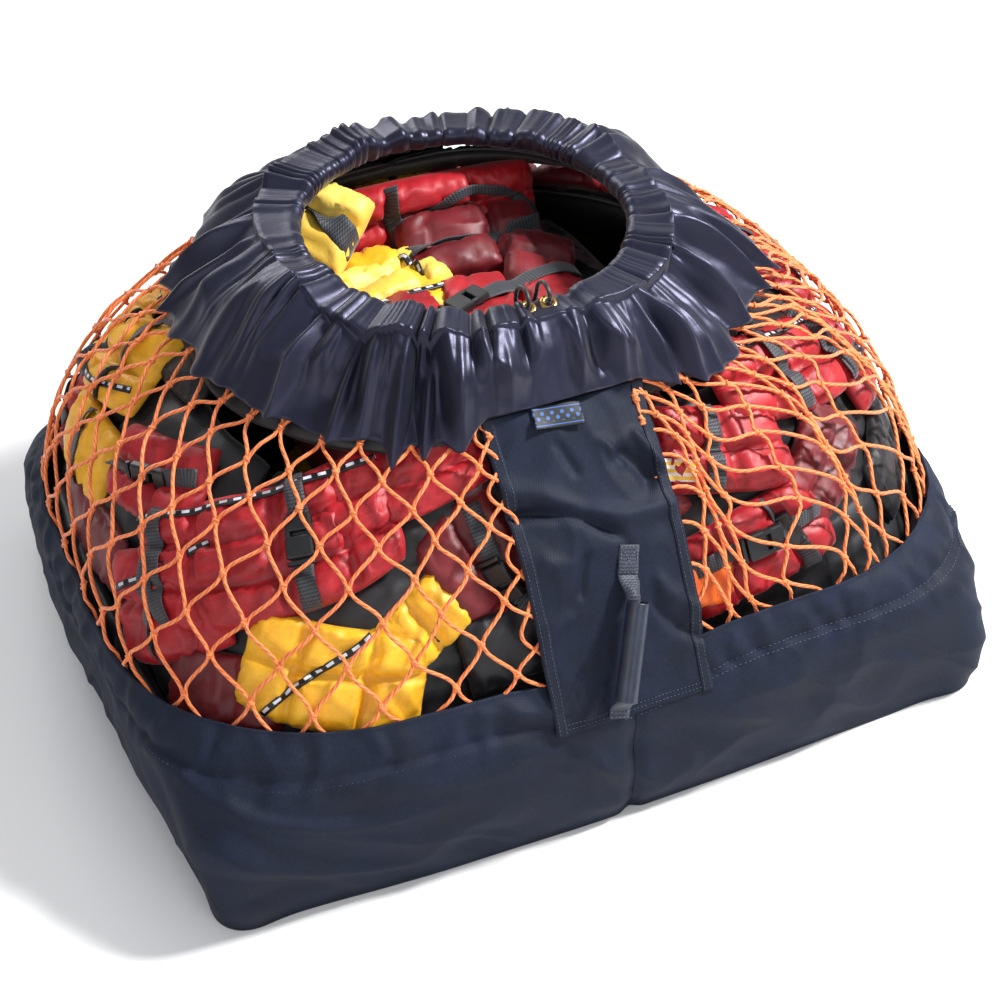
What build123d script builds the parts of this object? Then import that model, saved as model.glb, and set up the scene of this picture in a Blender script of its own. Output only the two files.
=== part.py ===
"""Drawcord mesh gear bag, packed with life jackets.

A packcloth tub carries a dome of knotted netting. A cloth strip with a carry handle runs up the
front and the back from the tub to a gathered collar, and a drawcord in the collar's casing closes
the mouth with a sprung cord lock. Origin: centre of the underside. +Z up, -Y is the front, and +X is
to the right of someone who faces the front handle.
"""

from build123d import *

import os
from functools import cache
from math import asin, cos, degrees, radians, sin, sqrt, tan

# ---------------------------------------------------------------- driving dimensions, in mm
FOOT_WIDTH = 980  # footprint, side to side
FOOT_DEPTH = 790  # footprint, front to back
HEM_TOP = 207  # height where the netting leaves the cloth tub
COLLAR_LOW = 462  # lower edge of the collar
RIM_TOP = 530  # top of the collar's cloth, under the casing
MOUTH_RADIUS = 205  # drawcord's circle
MOUTH_BACK = 60  # the mouth sits this far behind the middle
CASING_RADIUS = 15

# The bag's outline at each height: height, width, depth, corner radius, how far each side bows out,
# and how far the middle is set back. The first and last levels lie past the ends of the cloth, where
# each piece is cut off. The top of the cloth is the drawcord's circle, near enough.
LEVELS = (
    (-30, FOOT_WIDTH - 8, FOOT_DEPTH - 4, 45, 22, 0),
    (0, FOOT_WIDTH, FOOT_DEPTH, 45, 24, 0),
    (100, FOOT_WIDTH + 22, FOOT_DEPTH + 10, 60, 30, 0),
    (155, FOOT_WIDTH + 30, FOOT_DEPTH - 2, 130, 30, 1),
    (HEM_TOP, FOOT_WIDTH + 20, FOOT_DEPTH - 50, 250, 30, 6),
    (300, FOOT_WIDTH - 10, FOOT_DEPTH - 80, 300, 26, 32),
    (400, FOOT_WIDTH - 160, FOOT_DEPTH - 175, 285, 22, 57),
    (475, FOOT_WIDTH - 385, FOOT_DEPTH - 265, 245, 14, 68),
    (RIM_TOP, 2 * MOUTH_RADIUS - 30, 2 * MOUTH_RADIUS - 30, 165, 15, MOUTH_BACK),
    (RIM_TOP + 20, 2 * MOUTH_RADIUS - 90, 2 * MOUTH_RADIUS - 90, 145, 14, MOUTH_BACK),
)

CLOTH = 2.4  # thickness that stands for one layer of seamed cloth
NETTING = 3.0  # thickness of the band that the netting's knots fill
WALL_TOP = 168
HEM_LOW = 150
LAYER_GAP = 0.4  # air between two layers of cloth

PANEL_WIDTH = 200
PANEL_LOW = 165
BINDING_WIDTH = 14
BINDING_THICK = 1.2

GRIP_LENGTH = 115
GRIP_RADIUS = 13
GRIP_BORE = 10.2
STANDOFF = 26  # from the panel to the middle of the grip
SWING_HEIGHT = 4  # from the panel to the line that the handle swings on
LOOP_LENGTH = 158  # from the bottom stitching to the top stitching
GRIP_START = 16
WEBBING = 25
FOLDED_WEBBING = 16  # the webbing is folded inside the grip
WEBBING_THICK = 2.2

CORD_RADIUS = 2.5
GROMMET_SPACING = 13  # from the middle to each grommet
GROMMET_RADIUS = 10.5
GROMMET_BORE = 4.6
EXIT_RISE = radians(70)  # the tails leave the casing upwards and a little forwards
TAIL_INSET = 30  # from the casing's middle to where the tails hang, inside the mouth
TAIL_DROP = 95  # how far they hang below the casing's middle

LOCK_DROP = 62  # from the casing's middle down to the cord lock
LOCK_RADIUS = 8.5
LOCK_LENGTH = 38
PLUNGER_RADIUS = 5.6
PLUNGER_TRAVEL = 4
BARREL_FLOOR = 3
SPRING_ROOM = 8

LOAD_CLEAR = 9  # from the bag's outside to the jackets packed in it
CORE = (460, 380)  # the stack of flat jackets in the middle
CORE_LAYERS = ((10, 116), (120, 226), (230, 336))
GAP = 6  # between packed jackets

os.makedirs("parts", exist_ok=True)


def save(part, name):
    """Labels one finished piece and writes it as its own STEP file."""
    part.label = name
    export_step(part, f"parts/{name}.step")


# ---------------------------------------------------------------- the bag's own surface
def outline(level, grow):
    """The bag's outline at one level, grow mm outside the nominal surface."""
    height, width, depth, radius, bow, back = level
    a, b = width / 2 + grow, depth / 2 + grow
    corners = [(-a, back - b), (a, back - b), (a, back + b), (-a, back + b)]
    crowns = [(0, back - b - bow), (a + bow, back), (0, back + b + bow), (-a - bow, back)]
    with BuildSketch(Plane.XY.offset(height)) as sketch:
        with BuildLine():
            for i in range(4):
                ThreePointArc(corners[i], crowns[i], corners[(i + 1) % 4])
        make_face()
        fillet(sketch.vertices(), radius + grow)
    return sketch.sketch


@cache
def envelope(grow):
    """The solid inside the whole bag's surface, grow mm outside the nominal one."""
    return loft([outline(level, grow).face() for level in LEVELS], mode=Mode.PRIVATE)


def layer(grow, thick, x, y, z):
    """A curved layer of the bag between these limits, its outside grow mm outside the nominal surface."""
    with BuildPart() as piece:
        add(envelope(grow))
        keep_box(x, y, z)
        if thick:
            add(envelope(grow - thick), mode=Mode.SUBTRACT)
    return piece.part


def keep_box(x, y, z):
    """Keeps only what lies between these pairs of limits, in the BuildPart block it is called from."""
    middle = [(low + high) / 2 for low, high in (x, y, z)]
    size = [high - low for low, high in (x, y, z)]
    add(Pos(*middle) * Box(*size, mode=Mode.PRIVATE), mode=Mode.INTERSECT)


FAR = 700
EVERYWHERE = (-FAR, FAR)
SEAM_GAP = 0.2
SIDES = {"left": (-FAR, -SEAM_GAP), "right": (SEAM_GAP, FAR)}

# Cloth tub: a bottom and two wraparound walls that meet in a seam at the front and at the back.
save(layer(-CLOTH - LAYER_GAP, 0, EVERYWHERE, EVERYWHERE, (0, CLOTH)), "bottom_panel")

for side, x_range in SIDES.items():
    save(layer(0, CLOTH, x_range, EVERYWHERE, (0, WALL_TOP)), f"{side}_tub_wall")
    save(layer(LAYER_GAP + 3.0, 1.4, x_range, EVERYWHERE, (HEM_LOW, HEM_TOP)), f"{side}_hem_casing")
    save(layer(LAYER_GAP + 1.3, 1.1, x_range, EVERYWHERE, (182, 198)), f"{side}_hem_elastic")

    # Netting runs from inside the hem to inside the collar, on each side of the cloth strips.
    beside = PANEL_WIDTH / 2 - 4
    net_x = (-FAR, -beside) if side == "left" else (beside, FAR)
    save(layer(0, NETTING, net_x, EVERYWHERE, (WALL_TOP + 1, COLLAR_LOW + 8)), f"{side}_netting")

# Collar: the gathered cloth band, its casing and the two grommets that the drawcord leaves by.
collar_z = (COLLAR_LOW, RIM_TOP - LAYER_GAP)
save(layer(2 * LAYER_GAP + CLOTH, CLOTH, EVERYWHERE, EVERYWHERE, collar_z), "collar_band")

casing_height = RIM_TOP + CASING_RADIUS
front_of_cord = Vector(0, MOUTH_BACK - MOUTH_RADIUS, casing_height)
exit_way = Vector(0, -cos(EXIT_RISE), sin(EXIT_RISE))


def exit_plane(along):
    """A plane across both tails where they leave the casing, at this distance from its middle."""
    return Plane(front_of_cord + exit_way * along, x_dir=(1, 0, 0), z_dir=exit_way)


grommet_places = [(x * GROMMET_SPACING, 0) for x in (-1, 1)]
with BuildPart() as casing:
    with Locations((0, MOUTH_BACK, casing_height)):
        Torus(MOUTH_RADIUS, CASING_RADIUS)
        Torus(MOUTH_RADIUS, CASING_RADIUS - CLOTH, mode=Mode.SUBTRACT)
    with BuildSketch(exit_plane(0)):
        with Locations(*grommet_places):
            Circle(GROMMET_BORE + 1.2)
    extrude(amount=CASING_RADIUS + 6, mode=Mode.SUBTRACT)
save(casing.part, "drawcord_casing")

with BuildPart() as grommets:
    for along, radius, height in (
        (CASING_RADIUS + 0.3, GROMMET_RADIUS, 1.4),
        (CASING_RADIUS - CLOTH - 1, GROMMET_BORE + 1.0, CLOTH + 1.4),
    ):
        with BuildSketch(exit_plane(along)):
            with Locations(*grommet_places):
                Circle(radius)
                Circle(GROMMET_BORE, mode=Mode.SUBTRACT)
        extrude(amount=height)
save(grommets.part, "drawcord_grommets")

# Drawcord: round the casing, out through both grommets, over the casing into the mouth, together
# through the lock, and knotted.
TURN = 16  # the cord's bend inside the casing
CONVERGED = CORD_RADIUS + 0.9  # each tail's distance from the middle inside the lock
OVER_CASING = ((-9.6, 26.3), (6, 34), (24, 24), (TAIL_INSET, 0))  # side view of a tail, y and z


def tail_route(side):
    """The corners of one tail, from the casing's circle to the knot."""
    start_x = side * (GROMMET_SPACING + TURN)
    fall_back = MOUTH_RADIUS - sqrt(MOUTH_RADIUS**2 - start_x**2)
    start = front_of_cord + Vector(start_x, fall_back, 0)
    along_circle = Vector(-side * (MOUTH_RADIUS - fall_back), -abs(start_x), 0).normalized()
    corner = start + along_circle * (TURN / along_circle.X * -side)
    over = [corner + Vector(0, y, z) for y, z in OVER_CASING]
    together = corner + Vector(-side * (GROMMET_SPACING - CONVERGED), TAIL_INSET, 0)
    return [start, corner, *over, together - Vector(0, 0, 30), together - Vector(0, 0, TAIL_DROP)]


def bend_radii(route):
    """The widest arc that each corner of a route has room for."""
    radii = []
    for before, here, after in zip(route, route[1:], route[2:]):
        shorter = min((here - before).length, (after - here).length)
        turn = radians((here - before).get_angle(after - here))
        radii.append(0.45 * shorter / tan(turn / 2))
    return radii


left_route, right_route = tail_route(-1), tail_route(1)
tail_radii = bend_radii(right_route)
print("drawcord bends, mm:", [round(radius, 1) for radius in tail_radii])
open_angle = degrees(asin((GROMMET_SPACING + TURN) / MOUTH_RADIUS))
with BuildPart() as drawcord:
    with BuildLine() as cord_line:
        FilletPolyline(*reversed(left_route), radius=tail_radii[::-1])
        CenterArc((0, MOUTH_BACK, casing_height), MOUTH_RADIUS, 270 - open_angle, 2 * open_angle - 360)
        FilletPolyline(*right_route, radius=tail_radii)
    with BuildSketch(Plane(left_route[-1], z_dir=(0, 0, 1))):
        Circle(CORD_RADIUS)
    sweep()
print("drawcord length, mm:", round(cord_line.wires()[0].length, 1))
save(drawcord.part, "drawcord")

KNOT_RADIUS = 7.5
tails_hang = front_of_cord + Vector(0, TAIL_INSET, 0)
with BuildPart() as knot:
    with BuildSketch(Plane(tails_hang - Vector(0, 0, TAIL_DROP + 0.3), z_dir=(0, 0, -1))):
        Circle(KNOT_RADIUS)
    extrude(amount=2 * KNOT_RADIUS - 2)
    fillet(knot.edges(), 5)
save(knot.part, "drawcord_knot")

# Cord lock: a barrel across the tails, with a sprung plunger that comes out of its right end.
lock_middle = tails_hang - Vector(0, 0, LOCK_DROP)
lock_plane = Plane(lock_middle, x_dir=(0, 0, -1), z_dir=(1, 0, 0))  # local z is along the barrel
above_lock = Plane(lock_middle + Vector(0, 0, 20), x_dir=(1, 0, 0), z_dir=(0, 0, -1))
CORD_SLOT = 2 * CONVERGED + 2 * CORD_RADIUS + 1.2
SLOT_DEPTH = 2 * CORD_RADIUS + 1.0

with BuildPart() as barrel:
    with BuildSketch(lock_plane.offset(-LOCK_LENGTH / 2)):
        Circle(LOCK_RADIUS)
    extrude(amount=LOCK_LENGTH)
    chamfer(barrel.edges().filter_by(GeomType.CIRCLE), 1.2)
    with BuildSketch(lock_plane.offset(-LOCK_LENGTH / 2 + BARREL_FLOOR)):
        Circle(PLUNGER_RADIUS + 0.25)
    extrude(amount=LOCK_LENGTH, mode=Mode.SUBTRACT)
    with BuildSketch(above_lock):
        RectangleRounded(CORD_SLOT, SLOT_DEPTH, SLOT_DEPTH / 2 - 0.1)
    extrude(amount=40, mode=Mode.SUBTRACT)
save(barrel.part, "cord_lock_barrel")

with BuildPart() as plunger:
    with BuildSketch(lock_plane.offset(-LOCK_LENGTH / 2 + BARREL_FLOOR + SPRING_ROOM)):
        Circle(PLUNGER_RADIUS)
    extrude(amount=LOCK_LENGTH - BARREL_FLOOR - SPRING_ROOM + PLUNGER_TRAVEL + 1)
    with BuildSketch(lock_plane.offset(LOCK_LENGTH / 2 + PLUNGER_TRAVEL + 1)):
        Circle(LOCK_RADIUS - 1)
    extrude(amount=4)
    fillet(plunger.edges().filter_by(GeomType.CIRCLE).sort_by(Axis.X)[-1], 1.8)
    with BuildSketch(above_lock):
        with Locations((PLUNGER_TRAVEL / 2, 0)):
            RectangleRounded(CORD_SLOT + PLUNGER_TRAVEL, SLOT_DEPTH - 0.4, SLOT_DEPTH / 2 - 0.5)
    extrude(amount=40, mode=Mode.SUBTRACT)
save(plunger.part, "cord_lock_plunger")

# The spring is as short as the pressed plunger leaves it, so at rest there is a gap beside it.
SPRING_TURNS = 3
SPRING_WIRE = 0.4
spring_length = SPRING_ROOM - PLUNGER_TRAVEL - 2 * SPRING_WIRE - 0.5
with BuildPart() as spring:
    with BuildLine() as coil:
        Helix(
            pitch=spring_length / SPRING_TURNS,
            height=spring_length,
            radius=PLUNGER_RADIUS - 1.4,
            center=lock_middle + Vector(-LOCK_LENGTH / 2 + BARREL_FLOOR + SPRING_WIRE + 0.2, 0, 0),
            direction=(1, 0, 0),
        )
    with BuildSketch(Plane(coil.line @ 0, z_dir=coil.line % 0)):
        Circle(SPRING_WIRE)
    sweep(is_frenet=True)
save(spring.part, "cord_lock_spring")


# ---------------------------------------------------------------- cloth strips and carry handles
STRIPS = {
    # name: side view (y, z) from the tub's seam to the collar, which way is out, where the handle
    # starts, across and above the seam, and how far it leans
    "front": (((-424, PANEL_LOW), (-331, 340), (-285, 395), (-214, 474)), -1, (-26, 12), radians(19)),
    "back": (((431.5, PANEL_LOW), (418, 360), (398, 412), (360, 474)), 1, (0, 6), 0),
}


def shifted(points, distance, out):
    """The same line, moved this far outwards, square to its run at each point."""
    moved = []
    for i, (y, z) in enumerate(points):
        before, after = points[max(i - 1, 0)], points[min(i + 1, len(points) - 1)]
        run_y, run_z = after[0] - before[0], after[1] - before[1]
        length = sqrt(run_y**2 + run_z**2)
        moved.append((y + out * distance * run_z / length, z - out * distance * run_y / length))
    return moved


def strip_piece(points, out, offset, thick, x_low, x_high):
    """A length of cloth that follows a strip's side view, this far outside it and this thick."""
    near = shifted(points, offset, out)
    far = shifted(points, offset + thick, out)
    with BuildPart() as piece:
        with BuildSketch(Plane.YZ.offset(x_low)):
            with BuildLine():
                Polyline(*near, *reversed(far), close=True)
            make_face()
        extrude(amount=x_high - x_low)
    return piece.part


def handle_seat(points, out, start, lean):
    """The plane of a handle: origin at its bottom stitching, y up the strip, z away from it."""
    (y0, z0), (y1, z1) = points[0], points[1]
    up = Vector(0, y1 - y0, z1 - z0).normalized()
    across = Vector(-out, 0, 0)
    away = across.cross(up)
    origin = Vector(start[0], y0, z0) + up * start[1] + away * (CLOTH + LAYER_GAP)
    return Plane(origin, x_dir=across * cos(lean) - up * sin(lean), z_dir=away)


def loop_line(offset):
    """The side view of the handle's webbing, from the bottom fold, through the grip, to the top."""
    low, high = SWING_HEIGHT, STANDOFF
    grip_end = GRIP_START + GRIP_LENGTH
    return [
        (1.2, low + offset),
        (GRIP_START - 4 - offset, high - 6 + offset),
        (GRIP_START + 4, high + offset),
        (grip_end - 4, high + offset),
        (grip_end + 5 + offset, high - 6 + offset),
        (LOOP_LENGTH - 1.2, low + offset),
    ]


for name, (points, out, start, lean) in STRIPS.items():
    half = PANEL_WIDTH / 2
    save(strip_piece(points, out, 0, CLOTH, -half, half), f"{name}_panel")

    with BuildPart() as bindings:
        for edge_low in (-half, half - BINDING_WIDTH):
            add(strip_piece(points, out, CLOTH + LAYER_GAP, BINDING_THICK, edge_low, edge_low + BINDING_WIDTH))
    save(bindings.part, f"{name}_panel_bindings")

    seat = handle_seat(points, out, start, lean)

    # Stitched ends of the webbing: flat on the panel, above and below the loop.
    with BuildPart() as top_patch:
        with BuildSketch(seat):
            with Locations((0, LOOP_LENGTH + 17)):
                Rectangle(WEBBING, 32)
        extrude(amount=WEBBING_THICK)
    save(top_patch.part, f"{name}_handle_top_patch")

    with BuildPart() as bottom_patch:
        with BuildSketch(seat):
            with Locations((0, 1 - 4)):
                Rectangle(WEBBING, 6)
        extrude(amount=WEBBING_THICK)
    save(bottom_patch.part, f"{name}_handle_bottom_patch")

    # The loop of webbing between them, cut narrow at both ends, where it twists as the handle swings.
    with BuildPart() as loop:
        side_plane = Plane(seat.origin, x_dir=seat.y_dir, z_dir=seat.x_dir)
        with BuildSketch(side_plane.offset(-FOLDED_WEBBING / 2)):
            with BuildLine():
                Polyline(*loop_line(0), *reversed(loop_line(WEBBING_THICK)), close=True)
            make_face()
        extrude(amount=FOLDED_WEBBING)
        with BuildSketch(seat):
            with BuildLine():
                grip_end = GRIP_START + GRIP_LENGTH
                Polyline(
                    (-3, 0),
                    (3, 0),
                    (FOLDED_WEBBING / 2, GRIP_START - 2),
                    (FOLDED_WEBBING / 2, grip_end + 4),
                    (3, LOOP_LENGTH),
                    (-3, LOOP_LENGTH),
                    (-FOLDED_WEBBING / 2, grip_end + 4),
                    (-FOLDED_WEBBING / 2, GRIP_START - 2),
                    close=True,
                )
            make_face()
        extrude(amount=STANDOFF + 10, mode=Mode.INTERSECT)
    save(loop.part, f"{name}_handle_webbing")

    # Tube grip, free to turn on the webbing.
    grip_middle = STANDOFF + WEBBING_THICK / 2
    grip_plane = Plane(
        seat.from_local_coords(Vector(0, GRIP_START, grip_middle)), x_dir=seat.x_dir, z_dir=seat.y_dir
    )
    with BuildPart() as grip:
        with BuildSketch(grip_plane):
            Circle(GRIP_RADIUS)
            Circle(GRIP_BORE, mode=Mode.SUBTRACT)
        extrude(amount=GRIP_LENGTH)
        chamfer(grip.edges().filter_by(GeomType.CIRCLE), 1)
    save(grip.part, f"{name}_grip")

    axis_point = seat.from_local_coords(Vector(0, 0, SWING_HEIGHT))
    grip_point = seat.from_local_coords(Vector(0, GRIP_START, grip_middle))
    print(name, "handle axis", seat.y_dir, "swing point", axis_point, "grip point", grip_point)
    gap_point = seat.from_local_coords(Vector(0, GRIP_START + GRIP_LENGTH / 2, (STANDOFF - GRIP_RADIUS) / 2))
    print(name, "finger gap", gap_point, "away", seat.z_dir)

# Woven label, sewn under the collar at the top of the front strip.
LABEL = (58, 27)
front_points = STRIPS["front"][0]
top_run = Vector(0, front_points[3][0] - front_points[2][0], front_points[3][1] - front_points[2][1])
label_up = top_run.normalized()
label_away = Vector(1, 0, 0).cross(label_up)
label_spot = Vector(-14, *front_points[2]) + label_up * 84 + label_away * (CLOTH + 3.0)
with BuildPart() as label:
    with BuildSketch(Plane(label_spot, x_dir=(1, 0, 0), z_dir=label_away)):
        Rectangle(*LABEL)
    extrude(amount=0.8)
save(label.part, "woven_label")

# ---------------------------------------------------------------- the load of life jackets
core_x, core_y = CORE[0] / 2, CORE[1] / 2
for number, z_range in enumerate(CORE_LAYERS, 1):
    with BuildPart() as flat_jacket:
        with Locations((0, 0, z_range[0])):
            Box(*CORE, z_range[1] - z_range[0], align=(Align.CENTER, Align.CENTER, Align.MIN))
        fillet(flat_jacket.edges().filter_by(Axis.Z), 50)
    save(flat_jacket.part, f"packed_jacket_middle_{number}")

# Jackets stood round the inside of the netting and the tub, two high.
RING = {
    "front_left": ((-FAR, -GAP / 2), (-FAR, -core_y - GAP)),
    "front_right": ((GAP / 2, FAR), (-FAR, -core_y - GAP)),
    "left": ((-FAR, -core_x - GAP), (-core_y, core_y)),
    "right": ((core_x + GAP, FAR), (-core_y, core_y)),
    "back_left": ((-FAR, -GAP / 2), (core_y + GAP, FAR)),
    "back_right": ((GAP / 2, FAR), (core_y + GAP, FAR)),
}
TIERS = {"lower": (CLOTH + 6, 200), "upper": (200 + GAP, 425)}
BACK_TOP = 345  # the rear jackets stop lower, under the one that stands behind the mouth
for place, (x_range, y_range) in RING.items():
    for tier, (z_low, z_high) in TIERS.items():
        top = min(z_high, BACK_TOP) if place.startswith("back") else z_high
        save(layer(-LOAD_CLEAR, 0, x_range, y_range, (z_low, top)), f"packed_jacket_{place}_{tier}")

# Jackets in the mouth: the first two lift out through it, and the third stands at the back.
TOP_JACKETS = {
    # name: middle, and width, depth and height
    "red_jacket_on_top": ((10, 20, 400), (270, 130, 108)),
    "yellow_jacket_on_top": ((-75, 133, 400), (150, 85, 104)),
    "red_jacket_behind_mouth": ((30, 240, 440), (290, 60, 124)),
}
for name, (middle, size) in TOP_JACKETS.items():
    with BuildPart(Plane(middle)) as top_jacket:
        Box(*size)
        fillet(top_jacket.edges(), 24)
    save(top_jacket.part, name)
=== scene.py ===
"""Drawcord mesh gear bag full of life jackets: the looks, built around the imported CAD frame."""

import math

import bpy
import numpy as np
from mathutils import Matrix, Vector
from mathutils.bvhtree import BVHTree


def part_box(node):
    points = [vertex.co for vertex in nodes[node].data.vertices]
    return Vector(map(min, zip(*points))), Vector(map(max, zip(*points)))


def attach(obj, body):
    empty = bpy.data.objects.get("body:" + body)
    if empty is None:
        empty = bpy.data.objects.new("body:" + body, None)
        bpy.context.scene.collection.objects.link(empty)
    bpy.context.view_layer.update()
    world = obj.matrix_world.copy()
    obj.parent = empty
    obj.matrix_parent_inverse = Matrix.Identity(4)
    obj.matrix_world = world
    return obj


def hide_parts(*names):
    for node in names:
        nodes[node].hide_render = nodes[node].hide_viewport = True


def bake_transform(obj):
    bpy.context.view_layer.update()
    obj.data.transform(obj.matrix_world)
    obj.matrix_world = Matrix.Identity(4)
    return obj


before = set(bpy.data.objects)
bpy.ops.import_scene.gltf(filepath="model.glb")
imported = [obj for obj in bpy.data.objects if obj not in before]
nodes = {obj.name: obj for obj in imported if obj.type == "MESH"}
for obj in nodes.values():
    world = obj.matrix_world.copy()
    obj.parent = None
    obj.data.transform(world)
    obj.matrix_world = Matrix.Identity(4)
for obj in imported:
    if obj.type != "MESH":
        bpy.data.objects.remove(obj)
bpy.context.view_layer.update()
MM = 0.001

# ---------------------------------------------------------------- places, from the frame
casing_low, casing_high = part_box("drawcord_casing")
MOUTH = np.array((casing_low + casing_high) / 2)
CASING_RADIUS = (casing_high.z - casing_low.z) / 2
MOUTH_RADIUS = (casing_high.x - casing_low.x) / 2 - CASING_RADIUS
HEM_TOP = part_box("left_hem_casing")[1].z
COLLAR_LOW, RIM_TOP = (corner.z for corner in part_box("collar_band"))
PANEL_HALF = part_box("front_panel")[1].x


# ---------------------------------------------------------------- numbers
def smooth(x):
    """0 below 0, 1 above 1, and a smooth step between."""
    x = np.clip(x, 0, 1)
    return x * x * (3 - 2 * x)


def bell(x, width):
    """1 at 0, falling smoothly to nothing about two widths away."""
    return np.exp(-((x / width) ** 2))


def unit(vectors):
    """The same directions, each one metre long."""
    return vectors / np.linalg.norm(vectors, axis=-1, keepdims=True)


def lengths(line):
    """How far along a line each of its points is."""
    return np.concatenate([[0], np.cumsum(np.linalg.norm(np.diff(line, axis=0), axis=1))])


def relax(line, rounds, hold=2):
    """Evens out a line in place, its ends held. A larger hold changes it less in each round."""
    for _ in range(rounds):
        line[1:-1] = (line[:-2] + hold * line[1:-1] + line[2:]) / (hold + 2)


GRADIENTS = unit(np.random.default_rng(7).normal(size=(256, 3)))


def noise(points, scale, seed=0, octaves=1):
    """Smooth gradient noise of about -1 to 1 whose lumps are scale metres wide."""
    p = np.asarray(points, float) / scale + 31.7 * seed
    total, weight = 0, 1
    for _ in range(octaves):
        cell = np.floor(p).astype(np.int64)
        f = p - cell
        w = f * f * f * (f * (f * 6 - 15) + 10)
        value = 0
        for corner in np.ndindex(2, 2, 2):
            c = cell + corner
            h = (c[..., 0] * 73856093) ^ (c[..., 1] * 19349663) ^ (c[..., 2] * 83492791)
            h = ((h ^ (h >> 13)) * 1274126177 ^ (h >> 7)) & 255
            side = np.where(np.array(corner) == 1, w, 1 - w).prod(axis=-1)
            value = value + side * ((f - corner) * GRADIENTS[h]).sum(axis=-1)
        total = total + 1.6 * weight * value
        weight, p = weight / 2, p * 2.03 + 11.3
    return total


def creases(points, scale, seed=0):
    """Sharp-topped wrinkles, from 0 to about 1."""
    bent = np.asarray(points, float) + 0.35 * scale * np.stack(
        [noise(points, scale, seed + 5 + i) for i in range(3)], axis=-1
    )
    return 1 - np.minimum(1, 2.2 * np.abs(noise(bent, scale, seed)))


# ---------------------------------------------------------------- meshes
class Mesher:
    """Gathers points, faces and their UVs, and makes one object of them."""

    def __init__(self):
        self.points, self.faces, self.uvs = [], [], []

    def add(self, points, faces, uvs=None):
        start = len(self.points)
        self.points.extend(map(tuple, np.asarray(points, float)))
        self.faces.extend(tuple(start + i for i in face) for face in faces)
        self.uvs.extend(uvs if uvs is not None else [(0.0, 0.0)] * sum(map(len, faces)))

    def tube(self, line, radius, sides=6, closed=False, phase=0.0):
        """A round tube along a line. U goes round it once, and V is the length along it."""
        line = np.asarray(line, float)
        count = len(line)
        radius = np.broadcast_to(radius, count)
        ahead, behind = np.roll(line, -1, 0), np.roll(line, 1, 0)
        if not closed:
            ahead[-1], behind[0] = line[-1], line[0]
        way = ahead - behind
        way = unit(way)
        side = np.cross(way[0], (0.31, 0.17, 0.93))
        turn = np.arange(sides) * 2 * math.pi / sides + phase
        rings = []
        for i in range(count):
            side = side - way[i] * (side @ way[i])
            side = unit(side)
            other = np.cross(way[i], side)
            ring = np.outer(np.cos(turn), side) + np.outer(np.sin(turn), other)
            rings.append(line[i] + radius[i] * ring)
        self.skin(np.array(rings), [j / sides for j in range(sides + 1)], line, closed)

    def skin(self, rings, around, line, closed=False):
        """Joins rings of points along a line. around has each point's U, and the first one's again."""
        count, sides = rings.shape[:2]
        along = list(lengths(line))
        if closed:
            along.append(along[-1] + np.linalg.norm(line[0] - line[-1]))
        faces, uvs = grid_faces(count, sides, True, closed), grid_uvs(around, along)
        if not closed:
            faces.append(tuple(range(sides - 1, -1, -1)))
            faces.append(tuple((count - 1) * sides + j for j in range(sides)))
            uvs += [(0.0, 0.0)] * (2 * sides)
        self.add(rings.reshape(-1, 3), faces, uvs)

    def strap(self, line, out, width, thick, curl=0.0):
        """A flat strap along a line, its flat side facing out, with rounded edges and square ends.
        curl is how far its edges bend back from its middle."""
        line, out = np.asarray(line, float), np.asarray(out, float)
        way = np.gradient(line, axis=0)
        way = unit(way)
        across = np.cross(way, out)
        across = unit(across)
        up = np.cross(across, way)
        half = np.broadcast_to(np.asarray(width, float) / 2, len(line))[:, None]
        bend = np.broadcast_to(np.asarray(curl, float), len(line))[:, None]
        top = [(x, 1) for x in (0.95, 0.5, 0, -0.5, -0.95)]
        section = [(-1, 0)] + [(-x, -1) for x, _ in top] + [(1, 0)] + top
        rings = [line + across * x * half + up * (y * thick / 2 - bend * x * x) for x, y in section]
        around = [x * float(half.mean()) + (0.001 if y > 0 else 0) for x, y in section]
        self.skin(np.stack(rings, axis=1), around + around[:1], line)

    def object(self, name, material, flat=False):
        return new_piece(name, self.points, self.faces, material, self.uvs, flat)


def new_piece(name, points, faces, material, uvs=None, flat=False):
    mesh = bpy.data.meshes.new(name)
    mesh.from_pydata(points, [], faces)
    if uvs:
        layer = mesh.uv_layers.new(name="UVMap")
        layer.data.foreach_set("uv", np.array(uvs, np.float32).ravel())
    mesh.polygons.foreach_set("use_smooth", [not flat] * len(mesh.polygons))
    mesh.materials.append(material)
    mesh.validate()
    mesh.update()
    piece = bpy.data.objects.new(name, mesh)
    bpy.context.scene.collection.objects.link(piece)
    return piece


def grid_faces(rows, cols, wrap=False, closed=False):
    """Quads of a grid whose points run along each row in turn. wrap joins the ends of each row,
    and closed joins the last row to the first."""
    faces = []
    for i in range(rows if closed else rows - 1):
        low, high = i * cols, (i + 1) % rows * cols
        for j in range(cols if wrap else cols - 1):
            k = (j + 1) % cols
            faces.append((low + j, low + k, high + k, high + j))
    return faces


def grid_uvs(around, along):
    """The UVs of such a grid's quads, from the U of its columns and the V of its rows."""
    uvs = []
    for v0, v1 in zip(along, along[1:]):
        for u0, u1 in zip(around, around[1:]):
            uvs += [(u0, v0), (u1, v0), (u1, v1), (u0, v1)]
    return uvs


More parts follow.
